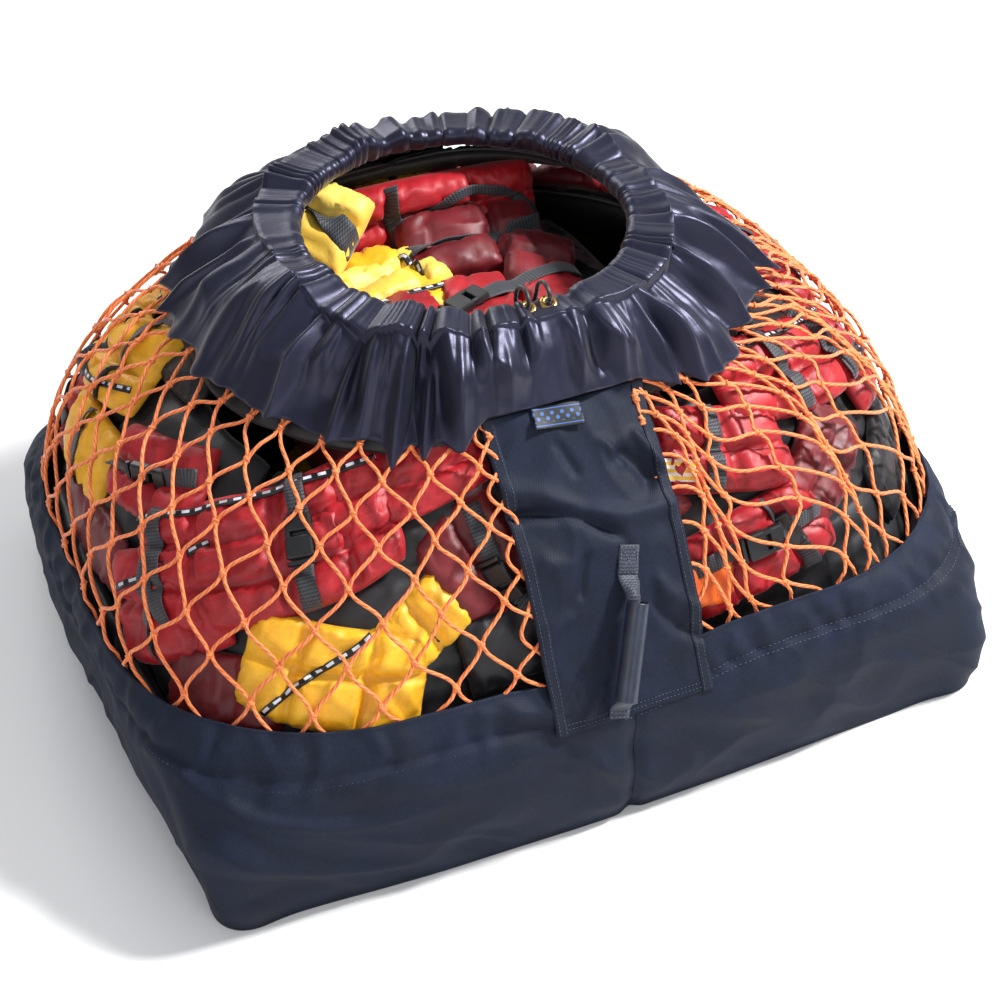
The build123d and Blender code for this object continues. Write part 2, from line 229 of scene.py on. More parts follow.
def grid_piece(name, points, material, thick, wrap=False):
    """A sheet through a grid of points (rows, cols, 3), its UVs in metres, given this thickness."""
    rows, cols = points.shape[:2]
    step_u = np.linalg.norm(np.diff(points, axis=1), axis=2).mean()
    step_v = np.linalg.norm(np.diff(points, axis=0), axis=2).mean()
    uvs = grid_uvs(np.arange(cols + 1 if wrap else cols) * step_u, np.arange(rows) * step_v)
    mesher = Mesher()
    mesher.add(points.reshape(-1, 3), grid_faces(rows, cols, wrap), uvs)
    piece = mesher.object(name, material)
    shell = piece.modifiers.new("thickness", "SOLIDIFY")
    shell.thickness, shell.offset = thick, -1
    return piece


def keep(piece, body, stands_for=()):
    """Rides a finished piece on its body, and hides the CAD nodes it stands for."""
    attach(piece, body)
    if stands_for:
        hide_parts(*stands_for)
    return piece


# ---------------------------------------------------------------- materials
def colour(r, g, b):
    """A colour given as it looks on a screen, 0 to 255, as Blender's linear values."""
    c = np.array([r, g, b]) / 255
    return (*np.where(c <= 0.04045, c / 12.92, ((c + 0.055) / 1.055) ** 2.4), 1.0)


class Shader:
    """A node material, built by short calls."""

    def __init__(self, name, rough=0.6, **sockets):
        self.material = bpy.data.materials.new(name)
        self.material.use_nodes = True
        self.tree = self.material.node_tree
        self.surface = self.tree.nodes["Principled BSDF"]
        self.surface.inputs["Roughness"].default_value = rough
        for socket, value in sockets.items():
            self.surface.inputs[socket.replace("_", " ")].default_value = value
        self.bumps = None

    def node(self, kind, inputs=(), **settings):
        made = self.tree.nodes.new("ShaderNode" + kind)
        for key, value in settings.items():
            setattr(made, key, value)
        for key, value in dict(inputs).items():
            self.feed(made.inputs[key], value)
        return made

    def feed(self, socket, value):
        if isinstance(value, bpy.types.NodeSocket):
            self.tree.links.new(value, socket)
        else:
            socket.default_value = value

    def place(self, kind="Object", scale=(1, 1, 1), turn=(0, 0, 0)):
        coordinates = self.node("TexCoord").outputs[kind]
        return self.node("Mapping", {"Vector": coordinates, "Scale": scale, "Rotation": turn}).outputs[0]

    def noise(self, scale, detail=3.0, where=None):
        inputs = {"Scale": scale, "Detail": detail, "Roughness": 0.55, "Vector": where or self.place()}
        return self.node("TexNoise", inputs).outputs["Fac"]

    def wave(self, scale, where, direction="X", distortion=0.0):
        inputs = {"Scale": scale, "Distortion": distortion, "Vector": where}
        return self.node("TexWave", inputs, bands_direction=direction).outputs["Fac"]

    def math(self, operation, a, b=0.0):
        return self.node("Math", {0: a, 1: b}, operation=operation).outputs[0]

    def ramp(self, fac, stops):
        made = self.node("ValToRGB", {"Fac": fac})
        ramp = made.color_ramp
        while len(ramp.elements) < len(stops):
            ramp.elements.new(0.5)
        for element, (place, shade) in zip(ramp.elements, stops):
            element.position, element.color = place, shade
        return made.outputs["Color"]

    def paint(self, value):
        self.feed(self.surface.inputs["Base Color"], value)

    def shade(self, fac, dark, light, start=0.3, end=0.7):
        """Paints it from dark to light as fac goes from start to end."""
        self.paint(self.ramp(fac, [(start, dark), (end, light)]))

    def rough(self, value):
        self.feed(self.surface.inputs["Roughness"], value)

    def bump(self, height, strength, distance):
        inputs = {"Height": height, "Strength": strength, "Distance": distance}
        if self.bumps:
            inputs["Normal"] = self.bumps
        self.bumps = self.node("Bump", inputs).outputs[0]
        self.feed(self.surface.inputs["Normal"], self.bumps)


def grey(level):
    return (level, level, level, 1)


def mottled(name, rough, scale, dark, light, bumps=(), detail=3.0, **sockets):
    """A plain material of two near colours. bumps has (scale, detail, strength, distance) for each."""
    made = Shader(name, rough, **sockets)
    made.shade(made.noise(scale, detail), colour(*dark), colour(*light))
    for bump_scale, bump_detail, strength, distance in bumps:
        made.bump(made.noise(bump_scale, bump_detail), strength, distance)
    return made


# A Wave texture repeats each 0.314 / scale. With a scale of 1 / spacing / these, its bands lie
# about two spacings apart.
CLOTH_WAVE, TRIM_WAVE = 6.2, 6.28


def woven(name, dark, light, thread, rough=0.62, sheen=0.0, mottling=14.0, weave=0.4, **sockets):
    """Plain-woven cloth: two crossed sets of threads, this many metres apart, and a mottled colour."""
    made = Shader(name, rough, **{"Sheen_Weight": sheen, "Sheen_Roughness": 0.4, **sockets})
    where = made.place()
    slow, fine = made.noise(mottling, 4.0, where), made.noise(1 / thread * 0.25, 2.0, where)
    mixed = made.math("ADD", made.math("MULTIPLY", slow, 0.7), made.math("MULTIPLY", fine, 0.3))
    made.shade(mixed, dark, light, 0.32, 0.68)
    rate, turned = 1 / thread / CLOTH_WAVE, made.place(turn=(0.4, 0.3, 0.8))
    threads = made.math("MULTIPLY", made.wave(rate, turned, "X"), made.wave(rate, turned, "Z"))
    made.bump(threads, weave, thread * 0.5)
    made.bump(made.noise(120, 4.0, where), 0.12, 0.002)
    made.rough(made.ramp(slow, [(0.3, grey(rough - 0.06)), (0.7, grey(rough + 0.08))]))
    return made


def webbing(name, dark, light):
    """Strap webbing: ribs across the strap and a herringbone between them."""
    made = Shader(name, 0.58, Sheen_Weight=0.15)
    where = made.place("UV")
    ribs = made.wave(1 / 0.0021 / CLOTH_WAVE, where, "Y", 0.4)
    cross = made.wave(1 / 0.0016 / CLOTH_WAVE, made.place("UV", turn=(0, 0, 0.7)), "X", 0.3)
    both = made.math("ADD", made.math("MULTIPLY", ribs, 0.6), made.math("MULTIPLY", cross, 0.4))
    speckle = made.math("ADD", made.noise(900, 2.0, where), 0.5)
    made.shade(made.math("MULTIPLY", both, speckle), dark, light, 0.15, 0.75)
    made.bump(both, 0.7, 0.0006)
    return made.material


def braid(name, dark, light, lay, strands, rough=0.55, fuzz=0.2):
    """Laid or braided line: strands that wind round it once in lay metres."""
    made = Shader(name, rough, Sheen_Weight=fuzz)
    along = made.node("SeparateXYZ", {0: made.node("TexCoord").outputs["UV"]})
    round_it = made.math("MULTIPLY", along.outputs[0], strands)
    wound = made.math("ADD", round_it, made.math("DIVIDE", along.outputs[1], lay))
    groove = made.math("ABSOLUTE", made.math("SINE", made.math("MULTIPLY", wound, math.pi)))
    lump = made.noise(60, 3.0)
    shade = made.math("ADD", made.math("MULTIPLY", groove, 0.55), made.math("MULTIPLY", lump, 0.55))
    made.shade(shade, dark, light, 0.15, 0.7)
    made.bump(groove, 0.8, 0.0009)
    made.bump(made.noise(2200, 2.0), 0.25, 0.0004)
    return made.material


packcloth = woven(
    "packcloth", colour(11, 17, 31), colour(25, 34, 54), 0.0011, 0.66, weave=0.35, Specular_IOR_Level=0.22
).material
binding_cloth = woven(
    "binding_cloth", colour(12, 17, 30), colour(27, 35, 54), 0.0009, 0.64, Specular_IOR_Level=0.25
).material
taffeta = woven(
    "taffeta",
    colour(9, 10, 22),
    colour(20, 22, 41),
    0.0005,
    rough=0.37,
    sheen=0.2,
    mottling=9.0,
    weave=0.15,
    Specular_Tint=(0.7, 0.7, 1.0, 1.0),
).material
thread_navy = mottled(
    "thread_navy", 0.5, 400, (30, 36, 52), (78, 88, 112), [(3000, 3.0, 0.3, 0.0003)]
).material
thread_light = mottled("thread_light", 0.5, 500, (70, 78, 98), (128, 138, 160)).material
twine = braid("twine", colour(206, 68, 22), colour(250, 136, 66), 0.011, 3, 0.5, 0.3)
cord_black = braid("cord_black", colour(14, 14, 17), colour(44, 45, 52), 0.006, 8, 0.5)
webbing_navy = webbing("webbing_navy", colour(15, 19, 28), colour(50, 58, 76))
webbing_black = webbing("webbing_black", colour(13, 14, 17), colour(56, 60, 68))


# ---------------------------------------------------------------- the bag's own surface
class Form:
    """The bag's outer surface, read from the CAD nodes: how far out it is at each height and angle."""

    ANGLES = 720
    STEP = 0.008

    def __init__(self, names):
        points, faces = [], []
        for name in names:
            mesh, start = nodes[name].data, len(points)
            points += [v.co.copy() for v in mesh.vertices]
            faces += [[start + i for i in p.vertices] for p in mesh.polygons]
        tree = BVHTree.FromPolygons(points, faces)
        self.heights = np.arange(0.002, RIM_TOP - 0.002, self.STEP)
        self.angles = np.arange(self.ANGLES) * 2 * math.pi / self.ANGLES
        reach = np.full((len(self.heights), self.ANGLES), np.nan)
        for i, z in enumerate(self.heights):
            middle = self.middle(z)
            for j, angle in enumerate(self.angles):
                way = Vector((math.cos(angle), math.sin(angle), 0))
                hit = tree.ray_cast(Vector((0, middle, z)) + way, -way, 0.9)[0]
                if hit is not None:
                    reach[i, j] = math.hypot(hit.x, hit.y - middle)
        for i in range(len(self.heights)):
            known = np.flatnonzero(~np.isnan(reach[i]))
            wrapped = np.concatenate([known - self.ANGLES, known, known + self.ANGLES])
            reach[i] = np.interp(np.arange(self.ANGLES), wrapped, np.tile(reach[i, known], 3))
        for _ in range(3):
            padded = np.pad(reach, ((1, 1), (0, 0)), mode="edge")
            reach = (padded[:-2] + 2 * reach + padded[2:]) / 4
            reach = (np.roll(reach, 1, 1) + 2 * reach + np.roll(reach, -1, 1)) / 4
        self.reach = reach

    @staticmethod
    def middle(z):
        """The y that angles are counted about, at this height."""
        return MOUTH[1] * smooth((np.asarray(z, float) - 0.12) / 0.4)

    def out_to(self, angle, z):
        i = np.clip((np.asarray(z, float) - self.heights[0]) / self.STEP, 0, len(self.heights) - 1.001)
        j = (np.asarray(angle, float) % (2 * math.pi)) / (2 * math.pi) * self.ANGLES
        i0, j0 = np.floor(i).astype(int), np.floor(j).astype(int) % self.ANGLES
        fi, fj = i - i0, j - np.floor(j)
        j1 = (j0 + 1) % self.ANGLES
        low = self.reach[i0, j0] * (1 - fj) + self.reach[i0, j1] * fj
        high = self.reach[i0 + 1, j0] * (1 - fj) + self.reach[i0 + 1, j1] * fj
        return low * (1 - fi) + high * fi

    def on(self, angle, z):
        """Points on the surface."""
        angle, z = np.broadcast_arrays(np.asarray(angle, float), np.asarray(z, float))
        reach = self.out_to(angle, z)
        return np.stack([reach * np.cos(angle), self.middle(z) + reach * np.sin(angle), z], axis=-1)

    def normal(self, angle, z):
        """Unit vectors square to the surface, outwards."""
        across = self.on(angle + 0.02, z) - self.on(angle - 0.02, z)
        high = np.minimum(np.asarray(z) + 0.008, self.heights[-1])
        low = np.maximum(np.asarray(z) - 0.008, self.heights[0])
        out = np.cross(across, self.on(angle, high) - self.on(angle, low))
        return unit(out)

    def at(self, angle, z, out):
        """Points this far outside the surface."""
        return self.on(angle, z) + self.normal(angle, z) * np.asarray(out, float)[..., None]


SIDES = ("left", "right")
FORM_PARTS = ("tub_wall", "hem_casing", "netting")
form = Form([f"{side}_{part}" for side in SIDES for part in FORM_PARTS] + ["collar_band"])


def side_angles(side, z, inset, count):
    """Angles evenly spaced in length along one side of the bag at height z, front to back.
    inset is how far from the middle plane they start and end, in metres."""
    angles = np.linspace(-math.pi / 2, math.pi / 2, 721)
    if side == "left":
        angles = math.pi - angles
    points = form.on(angles, np.full(len(angles), z))
    inside = np.flatnonzero(np.abs(points[:, 0]) >= inset)
    first, last = max(inside[0] - 1, 0), min(inside[-1] + 2, len(angles))
    points, angles = points[first:last], angles[first:last]
    along = lengths(points)
    start = np.interp(inset, np.abs(points[:4, 0]), along[:4])
    end = np.interp(-inset, -np.abs(points[-4:, 0]), along[-4:])
    return np.interp(np.linspace(start, end, count), along, angles)


# ---------------------------------------------------------------- packcloth tub
CLOTH = 1.1 * MM
TUB_OUT = 0.0045  # the tub's cloth, outside the form
HEM_STITCH = 0.036  # from the hem's edge down to its stitching
HEM_RISE = 0.012  # the netting pulls the hem up a little between the corners
TURNED_ROWS = 5  # of the cloth, over the hem's edge
HEM_LENGTH, HEM_STEP = 1.66, 0.0062  # one side's stitching, and from one stitch to the next


def hem_edge(angle):
    """Height of the tub's gathered edge, which rises along the sides and dips at the corners."""
    front = np.abs((angle + 1.5 * math.pi) % (2 * math.pi) - math.pi)
    rise = HEM_RISE * (0.5 + 0.5 * np.cos(2 * angle)) + 0.018 * (bell(front, 0.6) - bell(front, 0.24))
    return HEM_TOP + rise + 0.004 * np.sin(5 * angle + 0.6)


TUB_DRAW = np.array([[1.0, 0.0, 0.5], [0.0, 1.0, 0.5], [0.55, -0.55, 0.8]])
CORNER_ANGLE = math.atan2(395, 490)


def tub_relief(points, angle, z):
    """How far the tub's cloth stands out from the form: slow bulges, folds, and pleats near the hem."""
    edge = hem_edge(angle)
    # Each term is its height in metres times a shape. A noise's or crease's second number is its width.
    bulge = 0.0045 * noise(points * (1, 1, 1.6), 0.26, 3, 2)
    slant = points @ np.array([[0.8, 0.1, 0.35], [0.1, 0.8, -0.35], [0.5, 0.5, 1.9]]).T
    folds = 0.0066 * (creases(slant, 0.17, 9) - 0.4) * smooth(z / 0.05)
    folds = folds + 0.0034 * (creases(points @ TUB_DRAW, 0.085, 14) - 0.4) * smooth(z / 0.04)
    near_hem = smooth((z - edge + 0.085) / 0.06)
    round_ = angle * 0.5
    pleat = np.sin(round_ * 150 + 3.5 * noise(points, 0.05, 4)) * (0.55 + 0.45 * noise(points, 0.03, 6))
    gather = 0.0036 * pleat * near_hem * bell(z - edge + 0.030, 0.030)
    stitched = -0.0038 * bell(z - edge + HEM_STITCH, 0.005)
    rolled = 0.004 * bell(z - edge + 0.016, 0.014)
    sag = 0.010 * np.cos(2 * angle) * bell(z - 0.1, 0.06)
    foot = -0.004 * (1 - smooth(z / 0.03)) * (0.5 + 0.5 * noise(points, 0.3, 12))
    turned = np.arctan2(np.abs(np.sin(angle)), np.abs(np.cos(angle))) - CORNER_ANGLE
    corner = 0.012 * bell(turned, 0.055) * (1 - smooth((z - 0.03) / 0.16))
    relief = bulge + folds + gather + stitched + rolled + sag * 0.4 + foot + corner
    # Beside and under the end panels, where the grips swing down, the cloth lies flat.
    by_panel = bell(np.cos(angle), 0.24) * smooth((z - 0.11) / 0.05)
    return relief * (1 - by_panel) - 0.0025 * by_panel


def tub_cloth(side):
    """One side's wall, from the bottom seam up to the gathered hem, turned over at its edge."""
    cols, rows = 520, 64
    low = side_angles(side, 0.05, 0.0, cols)
    high = side_angles(side, HEM_TOP - 0.01, 0.0, cols)
    grid = np.zeros((rows + TURNED_ROWS, cols, 3))
    for i in range(rows):
        share = i / (rows - 1)
        angle = low + (high - low) * share
        z = 0.0015 + (hem_edge(angle) - 0.0015) * share
        base = form.on(angle, z)
        out = TUB_OUT + tub_relief(base, angle, z)
        seam = np.minimum(np.arange(cols), np.arange(cols)[::-1])
        out -= 0.007 * bell(seam / 3.2, 1.0) * (1 - share**3)
        grid[i] = form.at(angle, z, out)
        grid[i, :, 2] = np.maximum(grid[i, :, 2], 0.0012)
    inward = form.normal(high, hem_edge(high) - 0.01)
    for k in range(TURNED_ROWS):
        turn = (k + 1) / TURNED_ROWS * math.pi
        grid[rows + k] = grid[rows - 1] - inward * 0.0028 * (1 - math.cos(turn))
        grid[rows + k, :, 2] += 0.003 * math.sin(turn) - 0.004 * (k > 3)
    piece = grid_piece(f"{side}_tub_cloth", grid, packcloth, thick=CLOTH)
    stands_for = [f"{side}_tub_wall", f"{side}_hem_casing", f"{side}_hem_elastic"]
    keep(piece, "bag", stands_for)
    return high


def stitches(mesher, points, normals, length=0.0042, radius=0.00055, sink=0.0002):
    """A row of stitches: each second step along these closely spaced points is one stitch."""
    way = np.gradient(points, axis=0)
    way = unit(way)
    for p, n, w in zip(points, normals, way):
        ends = [p - w * length / 2 - n * radius, p + n * (radius - sink), p + w * length / 2 - n * radius]
        mesher.tube(ends, [radius * 0.8, radius, radius * 0.8], 5)


def hem_stitching(side, high):
    mesher = Mesher()
    count = int(HEM_LENGTH / HEM_STEP)
    for drop in (HEM_STITCH, HEM_STITCH + 0.007):
        angle = np.interp(np.linspace(0.004, 0.996, count), np.linspace(0, 1, len(high)), high)
        z = hem_edge(angle) - drop
        base = form.on(angle, z)
        points = form.at(angle, z, TUB_OUT + tub_relief(base, angle, z) + 0.0003)
        stitches(mesher, points, form.normal(angle, z))
    piece = mesher.object(f"{side}_hem_stitching", thread_navy)
    keep(piece, "bag")


for side in SIDES:
    hem_stitching(side, tub_cloth(side))

def bottom_cloth():
    """The floor of the bag, in rings from its rim to near its middle, slightly rumpled."""
    cols = 360
    angles = np.arange(cols) * 2 * math.pi / cols
    rim = form.on(angles, np.full(cols, 0.004)) - form.normal(angles, np.full(cols, 0.02)) * 0.006
    rows = []
    for share in np.linspace(0.02, 1, 40):
        row = rim * share
        row[:, 2] = 0.0012 + 0.0009 * (1 + noise(row, 0.05, 2, 2)) * (1 - share**6)
        rows.append(row)
    piece = grid_piece("bottom_cloth", np.array(rows)[::-1], packcloth, wrap=True, thick=CLOTH)
    keep(piece, "bag", ["bottom_panel"])


bottom_cloth()


# ---------------------------------------------------------------- knotted netting
NET_ROWS = 9  # half diamonds, from the hem to the collar
NET_STEPS = 9  # along a twine, from one knot to the next
TWINE = 2.3 * MM  # radius
NET_LOW = HEM_TOP - 0.006
NET_HIGH = COLLAR_LOW + 0.016


class NetSide:
    """Maps net coordinates, across from 0 to 1 and up from 0 to 1, to the surface."""

    def __init__(self, side):
        self.side = side
        self.levels = np.linspace(NET_LOW, NET_HIGH, 26)
        self.table = np.array([side_angles(side, z, PANEL_HALF - 0.012, 160) for z in self.levels])
        angles = self.table[:, 60]
        run = form.on(angles, self.levels)
        self.up = lengths(run)
        self.up /= self.up[-1]

    def angle_height(self, across, up):
        z = np.interp(up, self.up, self.levels)
        i = np.clip((z - self.levels[0]) / (self.levels[1] - self.levels[0]), 0, 24.999)
        j = np.clip(across, 0, 1) * 158.999
        i0, j0 = i.astype(int), j.astype(int)
        fi, fj = i - i0, j - j0
        t = self.table
        low = t[i0, j0] * (1 - fj) + t[i0, j0 + 1] * fj
        high = t[i0 + 1, j0] * (1 - fj) + t[i0 + 1, j0 + 1] * fj
        return low * (1 - fi) + high * fi, z

    def drawn(self, across, up):
        """Shifts net coordinates where the mesh is pulled aside, bunched or slack."""
        layer = np.full_like(across, 4.0 if self.side == "left" else 9.0)
        p = np.stack([across * 9, up * 3.2, layer], axis=-1)
        across = across + 0.009 * noise(p, 1.0, 2) + 0.004 * noise(p, 0.4, 3)
        up = up + 0.020 * noise(p, 1.1, 5) * smooth(up * 6) * smooth((1 - up) * 6)
        if self.side == "right":
            # The right side is slack: its strands lean back and gather into a few bundles.
            lean = 0.15 * smooth((0.55 - np.abs(across - 0.30)) / 0.3) * up
            across = across - lean + 0.06 * np.sin(up * math.pi) * bell(across - 0.35, 0.2)
            bundle = np.sin(across * 2 * math.pi * 7 + 1.2)
            across = across + 0.024 * bundle * np.sin(np.clip(up * 1.15, 0, 1) * math.pi)
            up = up + 0.02 * np.sin(across * 60) * np.sin(up * math.pi)
        return across, up

    def place(self, across, up, out):
        across, up = self.drawn(across, up)
        angle, z = self.angle_height(across, up)
        free = smooth((z - hem_edge(angle) + 0.001) / 0.012)
        free = free * smooth(across / 0.020) * smooth((1 - across) / 0.020)
        free = free * (1 - smooth((z - COLLAR_LOW + 0.024) / 0.014))
        return form.at(angle, z, np.asarray(out) * free - 0.0012 * (1 - free))


def net_twines(side, cells, seed):
    """The netting's twines: pairs run up side by side at each knot and part between knots."""
    net = NetSide(side)
    rng = np.random.default_rng(seed)
    sway = rng.normal(0, 1, (cells * 2 + 3, NET_ROWS + 1, 2)) * (0.055, 0.07)
    sway[:, 0] *= 0.3
    sway[:, -1] *= 0.5
    slack = rng.uniform(0, 1, (cells * 2 + 3, NET_ROWS + 1))
    mesher = Mesher()
    for column in range(cells + 1):
        for first in (1, -1):
            line = []
            here = 2 * column
            for row in range(NET_ROWS):
                there = here + (1 if (row % 2 == 0) == (first > 0) else -1)
                if not 0 <= there <= 2 * cells:
                    there = here
                u0, v0 = here + 2 * sway[here, row, 0], row + sway[here, row, 1]
                u1, v1 = there + 2 * sway[there, row + 1, 0], row + 1 + sway[there, row + 1, 1]
                share = np.arange(NET_STEPS) / NET_STEPS
                ease = 0.30 * share + 0.70 * smooth(share)
                apart = 0.10 * np.sign(there - here or 1)
                ease_u = u0 + (u1 - u0) * ease + apart * (bell(share, 0.12) - bell(share - 1, 0.12)) * 0.5
                across = ease_u / (2 * cells)
                up = (v0 + (v1 - v0) * share) / NET_ROWS
                lift = 0.0035 + 0.005 * slack[here, row] * np.sin(share * math.pi)
                end = smooth(up / 0.04) * smooth((1 - up) / 0.09)
                line.append(net.place(across, up, lift * end - 0.004 * (1 - end)))
                here = there
            line = np.concatenate(line)
            mesher.tube(line, TWINE * (1 + 0.06 * noise(line, 0.01, seed)), 7)
    knots = []
    for row in range(1, NET_ROWS):
        for here in range(row % 2, 2 * cells + 1, 2):
            u, v = here + 2 * sway[here, row, 0], row + sway[here, row, 1]
            knots.append((u / (2 * cells), v / NET_ROWS))
    across, up = np.array(knots).T
    low = net.place(across, up - 0.012, np.full(len(up), 0.0040))
    high = net.place(across, up + 0.012, np.full(len(up), 0.0040))
    for a, b in zip(low, high):
        add_knot(mesher, a, b, rng)
    piece = mesher.object(f"{side}_knotted_net", twine)
    keep(piece, "bag", [f"{side}_netting"])


def add_knot(mesher, low, high, rng):
    """A net knot: a short swollen body with one turn of twine round its middle."""
    way = high - low
    way = unit(way)
    middle = (low + high) / 2
    share = np.linspace(-1, 1, 5)
    body = middle + np.outer(share, way) * 0.0052
    mesher.tube(body, TWINE * np.array([0.7, 1.35, 1.5, 1.35, 0.7]), 7)
    side = np.cross(way, rng.normal(size=3))
    side = unit(side)
    other = np.cross(way, side)
    turn = np.linspace(0, 2 * math.pi, 10, endpoint=False)
    tilt = 0.0016 * np.sin(turn)
    ring = np.outer(np.cos(turn), side) + np.outer(np.sin(turn), other)
    mesher.tube(middle + 0.0031 * ring + np.outer(tilt, way), TWINE * 0.72, 6, closed=True)


net_twines("left", 18, 11)
net_twines("right", 30, 23)


# ---------------------------------------------------------------- end panels
class Strip:
    """One end panel: maps places across it and up it, in metres, to points off its cloth."""

    def __init__(self, end):
        self.end, self.out = end, -1 if end == "front" else 1
        mesh = nodes[f"{end}_panel"].data
        tree = BVHTree.FromPolygons([v.co for v in mesh.vertices], [p.vertices for p in mesh.polygons])
        low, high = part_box(f"{end}_panel")
        heights = np.linspace(low.z + 0.001, high.z - 0.003, 90)
        inward = Vector((0, -self.out, 0))
        side = [tree.ray_cast(Vector((0.03, self.out, z)), inward)[0].y for z in heights]
        run = np.stack([side, heights], axis=1)
        relax(run, 12)
        self.run = run
        self.along = lengths(run)
        self.length = self.along[-1]

    def normal(self, s):
        """Unit vectors square to the strip, away from the bag."""
        s = np.asarray(s)
        ahead, behind = (
            np.stack([np.interp(at, self.along, self.run[:, i]) for i in (0, 1)])
            for at in (s + 0.008, s - 0.008)
        )
        step = ahead - behind
        away = np.stack([np.zeros_like(step[0]), self.out * step[1], -self.out * step[0]], axis=-1)
        return unit(away)

    def flat(self, x, s, off):
        x, s = np.broadcast_arrays(np.asarray(x, float), np.asarray(s, float))
        y, z = (np.interp(s, self.along, self.run[:, i]) for i in (0, 1))
        return np.stack([x, y, z], axis=-1) + self.normal(s) * np.asarray(off, float)[..., None]

    def relief(self, x, s):
        """How far the cloth stands off the flat strip: its folds, and edges that bend to the bag."""
        place = self.flat(x, s, 0.0)
        off = 0.0022 * noise(place, 0.085, 3, 2)
        off = off + 0.0022 * (creases(place * (1.3, 1, 0.7), 0.07, 21) - 0.35)
        off = off + 0.003 * smooth((s - 0.03) / 0.08) * (1 - (x / PANEL_HALF) ** 2)
        off = off - 0.007 * (x / PANEL_HALF) ** 2 * smooth((s - 0.16) / 0.12)
        for (x0, s0), (x1, s1), depth, width, bow in PANEL_FOLDS[self.end]:
            run_x, run_s = x1 - x0, s1 - s0
            length = math.hypot(run_x, run_s)
            a, b = x / MM - x0, s / MM - s0
            share = (a * run_x + b * run_s) / length**2
            aside = (b * run_x - a * run_s) / length - bow * 4 * share * (1 - share)
            ends = smooth((share + 0.15) / 0.3) * smooth((1.15 - share) / 0.3)
            off = off + 1.3 * depth * MM * bell(aside, width) * ends
        # Under the handle, which swings close over it, the cloth lies flat.
        near = (1 - smooth((np.abs(x) - 0.030) / 0.030)) * (1 - smooth((s - 0.175) / 0.03))
        off = np.minimum(off, off * (1 - near) + 0.0015 * near)
        if self.end == "back":
            wide = (1 - smooth((np.abs(x) - 0.055) / 0.030)) * (1 - smooth((s - 0.185) / 0.03))
            off = np.minimum(off, off * (1 - wide))
        return off * smooth(s / 0.02) * smooth((self.length - s) / 0.02 + 0.3)

    def at(self, x, s, off):
        return self.flat(x, s, self.relief(x, s) + off)


PANEL_FOLDS = {
    # from and to (across, up), depth, half width and bow, in mm
    "front": (
        ((-104, 262), (22, 208), -8.5, 8, 14),
        ((-104, 292), (-20, 244), 5.5, 13, 8),
        ((-20, 244), (104, 228), 6.0, 11, -8),
        ((44, 300), (78, 254), -10.0, 13, 6),
        ((72, 318), (98, 268), 5.0, 6, 0),
        ((28, 320), (50, 282), 4.5, 6, 0),
        ((-40, 150), (-22, 198), -3.8, 6, 4),
        ((42, 128), (102, 62), -4.8, 8, -8),
        ((54, 150), (104, 96), 4.2, 9, -6),
        ((-84, 16), (-48, 72), -3.4, 6, 5),
        ((-64, 8), (-34, 44), 2.8, 6, 2),
        ((-98, 112), (-50, 134), 2.6, 9, 4),
        ((-24, 330), (-8, 286), -3.4, 6, 0),
        ((-80, 200), (-40, 186), 2.5, 10, 4),
    ),
    "back": (
        ((-102, 210), (30, 226), -6.0, 9, 10),
        ((-60, 250), (102, 240), 4.5, 12, -6),
        ((-80, 40), (-30, 104), -3.4, 7, 5),
        ((34, 30), (96, 96), -3.8, 8, -5),
        ((50, 120), (104, 150), 3.2, 9, 4),
        ((-96, 130), (-40, 160), 3.0, 9, -4),
        ((-40, 300), (-10, 262), -4.0, 8, 4),
        ((40, 312), (70, 270), -5.0, 9, 4),
    ),
}


# The binding's section: out from the panel's edge, and off its cloth.
BINDING = (
    (-0.0145, 0.0006),
    (-0.0135, 0.0013),
    (-0.010, 0.0015),
    (-0.006, 0.0016),
    (-0.0015, 0.0015),
    (0.0006, 0.0),
    (0.0, -0.0022),
)


def stitch_line(mesher, strip, start, end, off, step=0.0046, length=0.0030, radius=0.00045):
    """A row of stitches on a strip, from start to end (across, up) in metres."""
    count = max(int(math.dist(start, end) / step), 2)
    x, s = np.linspace(start[0], end[0], count), np.linspace(start[1], end[1], count)
    stitches(mesher, strip.at(x, s, np.full(count, off)), strip.normal(s), length, radius)


def panel_cloth(end):
    strip = Strip(end)
    rows, cols = 120, 70
    up, across = np.linspace(0, strip.length, rows), np.linspace(-1, 1, cols) * PANEL_HALF
    s, x = np.meshgrid(up, across, indexing="ij")
    cloth = grid_piece(f"{end}_panel_cloth", strip.at(x, s, np.zeros_like(x)), packcloth, thick=CLOTH)
    keep(cloth, "bag", [f"{end}_panel"])
    sewn = Mesher()
    for side, name in ((-1, "left"), (1, "right")):
        runs = [
            strip.at(np.full(rows, side * (PANEL_HALF + a)), s[:, 0], np.full(rows, b))
            for a, b in BINDING
        ]
        grid = np.stack(runs[::side], axis=1)
        binding = grid_piece(f"{end}_{name}_binding", grid, binding_cloth, thick=0.0008)
        keep(binding, "bag")
        for inset in (0.0035, 0.0115):
            where = side * (PANEL_HALF - inset)
            stitch_line(sewn, strip, (where, 0.004), (where, strip.length - 0.01), 0.0018)
    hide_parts(f"{end}_panel_bindings")
    for s_row in (0.006, 0.0115):
        stitch_line(sewn, strip, (-PANEL_HALF + 0.016, s_row), (PANEL_HALF - 0.016, s_row), 0.0004)
    thread = keep(sewn.object(f"{end}_panel_stitching", thread_navy), "bag")
    return strip


strips = {end: panel_cloth(end) for end in ("front", "back")}

